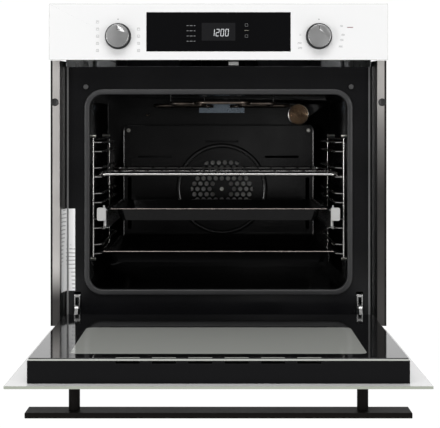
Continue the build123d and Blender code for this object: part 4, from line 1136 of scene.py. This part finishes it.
@dataclass
class Cavity(SubAssembly):
    """Enamelled oven muffle with its gasket, fan cover, fan, heaters, lamp and sensor."""

    ring_outer: float = 0.097
    ring_inner: float = 0.0865
    ring_height: float = 0.0024
    rim_corner: float = 0.012
    rim_radius: float = 0.0016
    fan_centre: tuple[float, float] = (0.007, 0.249)
    lamp_ribs: int = 6
    lamp_dome: float = 0.006

    def build(self) -> None:
        """Makes every cavity piece."""
        self.refine("cavity_shell", Palette.CAVITY_ENAMEL)
        self.refine("cavity_gasket", Palette.GASKET)
        self.refine("fan_cover", Palette.CAVITY_ENAMEL)
        self._embossed_ring()
        self._cover_rim()
        self._lamp_rim()
        self.refine("cavity_screws", Palette.SCREW)
        self.refine("convection_fan", Palette.WHEEL_METAL, 0.0002)
        self.refine("fan_motor", Palette.MOTOR, 0.0008)
        for node in ("ring_element", "grill_element", "bottom_element", "temperature_sensor"):
            self.refine(node, Palette.HEATER)
        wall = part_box("cavity_shell")[1].y - 0.02
        self.refine_split("grill_supports", (
            ("grill_bracket", Palette.ZINC_BRACKET, lambda middle: middle.y > wall),
            ("grill_hangers", Palette.HANGER, lambda middle: middle.y <= wall),
        ))
        self.refine("lamp_socket", Palette.SCREW, 0.0006)
        self._lamp_glass()

    def _embossed_ring(self) -> None:
        """A flat-topped ring pressed forward round the perforations."""
        low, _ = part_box("fan_cover")
        x, z = self.fan_centre
        centre = Vector((x, low.y, z))
        slope = self.ring_height
        section = ((self.ring_inner, 0.0002), (self.ring_inner + slope, -self.ring_height),
                   (self.ring_outer - slope, -self.ring_height), (self.ring_outer, 0.0002))
        steps = 128
        sections = []
        for k in range(steps):
            turn = 2 * math.pi * k / steps
            out = Vector((math.cos(turn), 0, math.sin(turn)))
            sections.append([centre + out * radius + Vector((0, depth, 0)) for radius, depth in section])
        ring = Shape().sweep(sections, True).piece("fan_cover_ring", 70)
        self.settle(ring, Palette.RIDGE, "fan_cover")

    def _cover_rim(self) -> None:
        """The fan cover's rolled edge."""
        low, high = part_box("fan_cover")
        corner, inset = self.rim_corner, self.rim_radius
        path = []
        for quarter in range(4):
            sign_x = 1 if quarter in (0, 3) else -1
            sign_z = 1 if quarter in (0, 1) else -1
            middle_x = (high.x - corner - inset) * sign_x
            middle_z = (high.z if sign_z > 0 else low.z) - sign_z * (corner + inset)
            for k in range(9):
                turn = math.pi / 2 * (quarter + k / 8)
                path.append(Vector((middle_x + corner * math.cos(turn), low.y + inset * 0.5,
                                    middle_z + corner * math.sin(turn))))
        rim = Shape().tube(path, inset, 10, closed=True).piece("fan_cover_rim")
        self.settle(rim, Palette.RIDGE, "fan_cover")

    def _lamp_rim(self) -> None:
        """The steel ring that holds the lamp lens."""
        low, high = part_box("lamp_glass")
        middle_x, middle_z, radius = (low.x + high.x) / 2, (low.z + high.z) / 2, (high.x - low.x) / 2
        steps = 64
        path = [
            Vector((middle_x + radius * math.cos(2 * math.pi * k / steps), low.y + 0.0072,
                    middle_z + radius * math.sin(2 * math.pi * k / steps)))
            for k in range(steps)
        ]
        rim = Shape().tube(path, 0.0013, 10, closed=True).piece("lamp_rim")
        self.settle(rim, Palette.CHROME, "lamp_socket")

    def _lamp_glass(self) -> None:
        """A domed lamp lens with concentric pressed ribs."""
        low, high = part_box("lamp_glass")
        radius = (high.x - low.x) / 2
        steps = 60
        profile = [(0.0, 0.0)]
        for i in range(1, steps + 1):
            reach = radius * i / steps
            dome = self.lamp_dome * (reach / radius) ** 2
            rib = 0.0007 * math.cos(2 * math.pi * self.lamp_ribs * reach / radius)
            profile.append((reach, dome + 0.0007 - rib))
        profile.append((radius, self.lamp_dome + 0.008))
        centre = Vector(((low.x + high.x) / 2, low.y, (low.z + high.z) / 2))
        lens = Shape().lathe(profile, centre, 72).piece("lamp_lens", 60)
        self.settle(lens, Palette.AMBER_GLASS, "lamp_glass", "lamp_glass")


@dataclass
class Shelves(SubAssembly):
    """Side racks, wire shelf, trays and the telescopic runners."""

    shelf_bars: int = 15
    bar_end_radius: float = 0.0024
    bead_radius: float = 0.0011

    def build(self) -> None:
        """Makes everything that slides or carries food."""
        self.refine("side_racks", Palette.CHROME)
        self.refine("wire_shelf", Palette.CHROME)
        self.refine("lower_tray", Palette.TRAY_ENAMEL)
        self.refine("runner_tray", Palette.TRAY_ENAMEL)
        self.refine("runner_rails", Palette.STEEL, 0.0004)
        self.refine("runner_middles", Palette.STEEL, 0.0004)
        self.refine("runner_carriages", Palette.STEEL, 0.0005)
        self.refine("runner_caps", Palette.LIGHT_PLASTIC, 0.0012, 3)
        for node in ("lower_tray", "runner_tray"):
            self._lip_bead(node)
        self._shelf_bar_ends()

    def _lip_bead(self, node: str) -> None:
        """A bright metal bead along a tray's front edge."""
        low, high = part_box(node)
        inset = self.bead_radius + 0.001
        ends = (low.x + 0.012, high.x - 0.012)
        path = [Vector((x, low.y + inset, high.z)) for x in ends]
        bead = Shape().tube(path, self.bead_radius, 12).piece(f"{node}_bead")
        self.settle(bead, Palette.LIP_BEAD, node)

    def _shelf_bar_ends(self) -> None:
        """Welded ends of the shelf bars under its front wire."""
        low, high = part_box("wire_shelf")
        tree = Pattern("shelf_bar_ends")
        ball = tree.add("GeometryNodeMeshUVSphere", None, {
            "Segments": 12, "Rings": 8, "Radius": tree.size("End radius", self.bar_end_radius),
        })
        pitch = (high.x - low.x - 0.005) / (self.shelf_bars + 1)
        across = pitch * (self.shelf_bars - 1)
        points = tree.grid("Bars", across, 0.0, self.shelf_bars, 1)
        placed = tree.moved(points, (0.0, low.y + 0.0035, low.z + self.bar_end_radius))
        piece = tree.piece("shelf_bar_ends", tree.scatter(placed, ball), Palette.CHROME)
        self.settle(piece, Palette.CHROME, "wire_shelf")


@dataclass
class Knob(SubAssembly):
    """One control knob: dark skirt, turned cap and its index line."""

    side: str = "left"

    def build(self) -> None:
        """Makes the knob's pieces."""
        cap = f"knob_cap_{self.side}"
        low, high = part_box(cap)
        centre = ((low.x + high.x) / 2, 0.0, (low.z + high.z) / 2)
        face = TurnedFace(f"turned_cap_{self.side}", grey(0.43), 0.34, 1.0, rough_spread=0.05,
                          skin=0.05, depth=0.00002, centre=centre)
        self.refine(f"knob_body_{self.side}", Palette.DARK_PLASTIC, 0.0008, 3)
        self.refine(cap, face)
        line = Shape().block((centre[0] - 0.0006, low.y - 0.00015 + 0.00015, high.z - 0.009),
                             (centre[0] + 0.0006, low.y + 0.0006, high.z - 0.0035))
        index = line.piece(f"knob_index_{self.side}")
        self.settle(index, Palette.DARK_PLASTIC, cap)


@dataclass
class Legends(SubAssembly):
    """Printed marks, touch symbols and the lit clock on the fascia."""

    thickness: float = 0.0001
    stroke: float = 0.0004
    digit_width: float = 0.0058
    digit_height: float = 0.0127
    digit_pitch: float = 0.0082
    digit_stroke: float = 0.0009
    digit_slant: float = 0.08
    clock: str = "1200"
    mark: float = 0.0042
    knob_column: float = 0.036
    mark_pitch: float = 0.0125
    film_size: tuple[float, float] = (0.059, 0.031)
    touch_column: float = 0.048
    touch_pitch: float = 0.0091
    number_size: tuple[float, float, float] = (0.0017, 0.0031, 0.0004)
    number_pitch: float = 0.0024
    segments: dict[str, str] = field(default_factory=lambda: {
        "0": "abcdef", "1": "bc", "2": "abged", "5": "afgcd",
    })

    def build(self) -> None:
        """Makes every mark."""
        low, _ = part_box("fascia_glass")
        self.front = low.y
        self._clock()
        self._touch_marks()
        self._knob_marks()

    def _bar(self, shape: Shape, x: float, z: float, width: float, height: float) -> None:
        """Adds a flat bar centred at x, z on the fascia's face."""
        y = self.front
        shape.block((x - width / 2, y - self.thickness, z - height / 2), (x + width / 2, y, z + height / 2))

    def _digit(self, shape: Shape, text: str, x: float, z: float, width: float, height: float,
               stroke: float) -> None:
        """Adds one seven-segment digit centred at x, z."""
        half, tall = (width - stroke) / 2, (height - stroke) / 2
        across = width - 1.6 * stroke
        upright = tall - 0.5 * stroke
        places = {
            "a": (0, tall, across, stroke), "g": (0, 0, across, stroke), "d": (0, -tall, across, stroke),
            "b": (half, tall / 2, stroke, upright), "c": (half, -tall / 2, stroke, upright),
            "f": (-half, tall / 2, stroke, upright), "e": (-half, -tall / 2, stroke, upright),
        }
        for segment in self.segments[text]:
            dx, dz, bar_width, bar_height = places[segment]
            self._bar(shape, x + dx, z + dz, bar_width, bar_height)

    def _clock(self) -> None:
        """The lit time of day."""
        low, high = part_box("display_lens")
        middle_x, middle_z = 0.0025, (low.z + high.z) / 2 - 0.0013
        shape = Shape()
        for i, text in enumerate(self.clock):
            x = middle_x + (i - 1.5) * self.digit_pitch
            self._digit(shape, text, x, middle_z, self.digit_width, self.digit_height, self.digit_stroke)
        for vert in shape.mesh.verts:
            vert.co.x += (vert.co.z - middle_z) * self.digit_slant
        self.settle(shape.piece("clock_digits"), Palette.DIGITS, "display_lens")
        film = Shape()
        self._bar(film, 0.0, middle_z + 0.0015, *self.film_size)
        piece = film.piece("display_film")
        for vert in piece.data.vertices:
            vert.co.y += self.thickness / 2
        self.settle(piece, Palette.DISPLAY_FILM, "display_lens")

    def _touch_marks(self) -> None:
        """Touch symbols either side of the clock, as plain bars and boxes."""
        low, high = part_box("display_lens")
        middle = (low.z + high.z) / 2 - 0.0027
        shape = Shape()
        for row in (-1.5, -0.5, 0.5, 1.5):
            z = middle + row * self.touch_pitch
            for part, width in ((-0.0062, 0.0035), (0.0, 0.005), (0.006, 0.003)):
                self._bar(shape, part - self.touch_column, z, width, 0.0011)
        for z in (middle + 0.0147, middle - 0.0047):
            self._box_outline(shape, 0.049, z, 0.0046)
        self.settle(shape.piece("touch_marks"), Palette.ICONS, "display_lens")
        line = Shape()
        self._bar(line, 0.049, middle + 0.0052, 0.0075, 0.0009)
        self.settle(line.piece("touch_line"), Palette.AMBER_ICON, "display_lens")

    def _box_outline(self, shape: Shape, x: float, z: float, size: float) -> None:
        """Adds a small square drawn with four strokes."""
        half = size / 2
        for sign in (-1, 1):
            self._bar(shape, x, z + sign * half, size, self.stroke)
            self._bar(shape, x + sign * half, z, self.stroke, size)

    def _knob_marks(self) -> None:
        """Function symbols round the left knob and numbers round the right one."""
        shape = Shape()
        for side in ("left", "right"):
            low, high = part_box(f"knob_cap_{side}")
            x, z = (low.x + high.x) / 2, (low.z + high.z) / 2
            self._bar(shape, x, high.z + 0.010, 0.0018, 0.0018)
            if side == "left":
                self._symbols(shape, x, z)
            else:
                self._numbers(shape, x, z)
        self.settle(shape.piece("knob_marks"), Palette.INK, "fascia_glass")
        red = Shape()
        low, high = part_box("knob_cap_right")
        self._bar(red, (low.x + high.x) / 2 + 0.0545, (low.z + high.z) / 2 + 0.0156, 0.0105, 0.0012)
        self.settle(red.piece("red_mark"), Palette.RED_INK, "fascia_glass")

    def _symbols(self, shape: Shape, x: float, z: float) -> None:
        """Square oven symbols, with a bar at the top, the bottom or both."""
        half = self.mark / 2 - self.stroke
        columns = ((-1, (2, 1, 0, -1, -2)), (1, (1, 0, -1, -2)))
        for sign, rows in columns:
            for row in rows:
                at_x, at_z = x + sign * self.knob_column, z + row * self.mark_pitch
                self._box_outline(shape, at_x, at_z, self.mark)
                if row != 0:
                    self._bar(shape, at_x, at_z + half * 0.5, self.mark * 0.6, self.stroke)
                if row <= 0:
                    self._bar(shape, at_x, at_z - half * 0.5, self.mark * 0.6, self.stroke)

    def _numbers(self, shape: Shape, x: float, z: float) -> None:
        """Temperature numbers beside the right knob."""
        width, height, stroke = self.number_size
        places = (
            ("50", x + 0.0395, z + 0.018), ("100", x + 0.0415, z + 0.0025),
            ("150", x + 0.0395, z - 0.0065), ("200", x + 0.038, z - 0.018),
            ("220", x - 0.033, z - 0.0205), ("250", x - 0.034, z - 0.012),
            ("0", x - 0.033, z + 0.0025),
        )
        for text, at_x, at_z in places:
            for i, digit in enumerate(text):
                offset = (i - (len(text) - 1) / 2) * self.number_pitch
                self._digit(shape, digit, at_x + offset, at_z, width, height, stroke)


def white_glass(node: str, axes: tuple[Axis, Axis]) -> EdgedGlass:
    """White-backed glass for a pane, with its rim on the pane's own edges."""
    low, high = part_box(node)
    return EdgedGlass(f"white_{node}", grey(0.86), 0.09, 0, 0, 0.006, 0.02, 6.0, 30.0, 0.02,
                      low=tuple(low), high=tuple(high), axes=axes)


@dataclass
class ControlPanel(SubAssembly):
    """White glass fascia, its black display lens and the carrier behind."""

    def build(self) -> None:
        """Makes the fascia."""
        self.refine("fascia_glass", white_glass("fascia_glass", (Axis.X, Axis.Z)), 0.0005, 3)
        self.refine("display_lens", Palette.BLACK_LENS)
        self.refine("panel_carrier", Palette.DARK_PLASTIC, 0.0006)
        self.refine("control_electronics", Palette.BOARD, 0.0003)
        for side in ("left", "right"):
            Knob(self.record, side).build()
        Legends(self.record).build()


@dataclass
class Cooling(SubAssembly):
    """Cooling air duct, its wheel and motor."""

    def build(self) -> None:
        """Makes the cooling blower."""
        self.refine("air_duct", Palette.DUCT_SHEET, 0.0003)
        self.refine("blower_wheel", Palette.DARK_PLASTIC)
        self.refine("blower_motor", Palette.MOTOR, 0.0008)


@dataclass
class Door(SubAssembly):
    """Three-pane door with its profiles, trim and handle."""

    window_inset: float = 0.0535
    window_start: float = 0.0325
    window_length: float = 0.2345
    spacer_inset: float = 0.0195
    vents: int = 6
    vent_length: float = 0.0334
    vent_pitch: float = 0.0507

    def build(self) -> None:
        """Makes the door's pieces."""
        low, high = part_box("door_inner_glass")
        window_x = high.x - self.window_inset
        near = low.y + self.window_start
        far = near + self.window_length
        black = (0.006, 0.006, 0.0065, 1.0)
        inner = Pane("inner_pane", black, 0.06, rough_spread=0.01, skin=0.01, depth=0.0002,
                     low=(-window_x, near, 0), high=(window_x, far, 0))
        self.refine("door_inner_glass", inner, 0.0004)
        self.refine("door_middle_glass", Palette.CLEAR_GLASS, 0.0004)
        self.refine("door_outer_glass", white_glass("door_outer_glass", (Axis.X, Axis.Y)), 0.0006, 3)
        for node in ("door_side_profiles", "door_top_trim", "door_bottom_profile"):
            self.refine(node, Palette.DOOR_PAINT, 0.0005)
        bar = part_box("glass_spacers")[1].x - self.spacer_inset
        self.refine_split("glass_spacers", (
            ("glass_spacer_bars", Palette.SPACER, lambda middle: abs(middle.x) > bar),
            ("glass_crossbar", Palette.STRIP, lambda middle: abs(middle.x) <= bar),
        ))
        self._vent_dashes()
        self.refine("handle_bar", Palette.HANDLE_PAINT, 0.0012, 3)
        self.refine("handle_posts", Palette.HANDLE_PAINT, 0.0005)
        self.refine("handle_screws", Palette.SCREW, 0.0003)

    def _vent_dashes(self) -> None:
        """Light lips of the air slots along the glass's top edge, and a light strip along its bottom edge
        that is a painted highlight of the polished glass edge.
        """
        low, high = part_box("door_inner_glass")
        dashes, line = Shape(), Shape()
        for i in range(self.vents):
            x = (i - (self.vents - 1) / 2) * self.vent_pitch
            dashes.block((x - self.vent_length / 2, low.y, high.z),
                         (x + self.vent_length / 2, low.y + 0.004, high.z + 0.0002))
        # painted highlight: a light strip standing for the polished bottom edge of the glass catching the
        # light
        line.block((low.x, low.y - 0.0002, low.z + 0.0002), (high.x, low.y, low.z + 0.0026))
        self.settle(dashes.piece("vent_lips"), Palette.STRIP, "door_inner_glass")
        self.settle(line.piece("glass_edge_highlight"), Palette.STRIP, "door_inner_glass")


@dataclass
class Hinges(SubAssembly):
    """Door hinges: receivers, arms, locking levers, bodies, pins and springs."""

    def build(self) -> None:
        """Makes both hinges."""
        self.refine("hinge_receivers", Palette.GALVANISED, 0.0003)
        for node in ("hinge_arms", "hinge_lever_left", "hinge_lever_right", "hinge_bodies"):
            self.refine(node, Palette.STEEL, 0.0003)
        self.refine("hinge_pins_springs", Palette.SCREW)


# Studio ---------------------------------------------------------------------


@dataclass
class Studio:
    """White floor and backdrop, soft lights and the camera."""

    camera_place: Point = (0.0, -2.1906, 0.3737)
    lens: float = 101.3
    shift: tuple[float, float] = (0.0034, -0.1909)
    floor_gap: float = 0.002
    reach: float = 6.0

    def build(self) -> None:
        """Sets up the world, the stage, the lights and the camera."""
        scene = bpy.context.scene
        scene.view_settings.view_transform = "Standard"
        self._world()
        self._stage()
        self._light("key", (0.0, -2.4, 2.6), (0.0, 0.0, 0.35), (2.6, 1.2), 58.0)
        self._light("left", (-1.5, -2.1, 0.55), (0.0, 0.3, 0.25), (0.5, 0.9), 16.0)
        self._light("right", (1.4, -2.1, 0.55), (0.0, 0.3, 0.25), (0.5, 0.9), 12.0)
        self._light("glow", (0.22, -2.2, 0.264), (0.11, 0.43, 0.32), (0.3, 0.3), 0.25)
        self._camera()

    @staticmethod
    def _world() -> None:
        """A dim even surround."""
        world = bpy.data.worlds.new("studio")
        world.use_nodes = True
        nodes, links = world.node_tree.nodes, world.node_tree.links
        plain = nodes["Background"]
        plain.inputs["Color"].default_value = grey(0.2)
        white = nodes.new("ShaderNodeBackground")
        rays, mix = nodes.new("ShaderNodeLightPath"), nodes.new("ShaderNodeMixShader")
        links.new(rays.outputs["Is Camera Ray"], mix.inputs[0])
        links.new(plain.outputs[0], mix.inputs[1])
        links.new(white.outputs[0], mix.inputs[2])
        links.new(mix.outputs[0], nodes["World Output"].inputs["Surface"])
        white.inputs["Color"].default_value = grey(1.0)
        bpy.context.scene.world = world

    def _stage(self) -> None:
        """Glowing white floor and backdrop."""
        low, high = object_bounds()
        white = Graph("studio_white")
        white.shade(Base_Color=grey(0.05), Roughness=0.9, Specular_IOR_Level=0.0,
                    Emission_Color=grey(1.0), Emission_Strength=0.98)
        height = low.z - self.floor_gap
        span, back, front = self.reach, high.y + 1.2, low.y - 0.7
        faces = {
            "floor": [
                (-span, front, height), (span, front, height), (span, back, height), (-span, back, height),
            ],
            "backdrop": [
                (-span, back, height), (span, back, height), (span, back, span), (-span, back, span),
            ],
        }
        for name, corners in faces.items():
            mesh = bpy.data.meshes.new(name)
            mesh.from_pydata(corners, [], [(0, 1, 2, 3)])
            mesh.materials.append(white.material)
            link(name, mesh)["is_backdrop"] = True

    @staticmethod
    def _light(name: str, place: Point, target: Point, size: tuple[float, float], power: float) -> None:
        """Adds a soft box aimed at a target."""
        data = bpy.data.lights.new(name, "AREA")
        data.shape = "RECTANGLE"
        data.size, data.size_y = size
        data.energy = power
        lamp = bpy.data.objects.new(name, data)
        lamp.location = place
        aim = Vector(target) - Vector(place)
        lamp.rotation_euler = aim.to_track_quat("-Z", "Y").to_euler()
        bpy.context.scene.collection.objects.link(lamp)

    def _camera(self) -> None:
        """The level camera in front of the oven."""
        data = bpy.data.cameras.new("camera")
        data.lens = self.lens
        data.sensor_width = 36.0
        data.shift_x, data.shift_y = self.shift
        data.clip_end = 50.0
        camera = bpy.data.objects.new("camera", data)
        camera.location = self.camera_place
        camera.rotation_euler = (math.pi / 2, 0.0, 0.0)
        bpy.context.scene.collection.objects.link(camera)
        bpy.context.scene.camera = camera


def main() -> None:
    """Dresses the frame."""
    logging.basicConfig(level=logging.INFO, format="%(name)s: %(message)s")
    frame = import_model()
    low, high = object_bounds()
    CAD_BOX.update(low=list(low), high=list(high))
    record = Record(frame["record"])
    Studio().build()
    for assembly in (Casing, Cavity, Shelves, ControlPanel, Cooling, Door, Hinges):
        assembly(record).build()
    low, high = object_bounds()


if __name__ == "__main__":
    main()
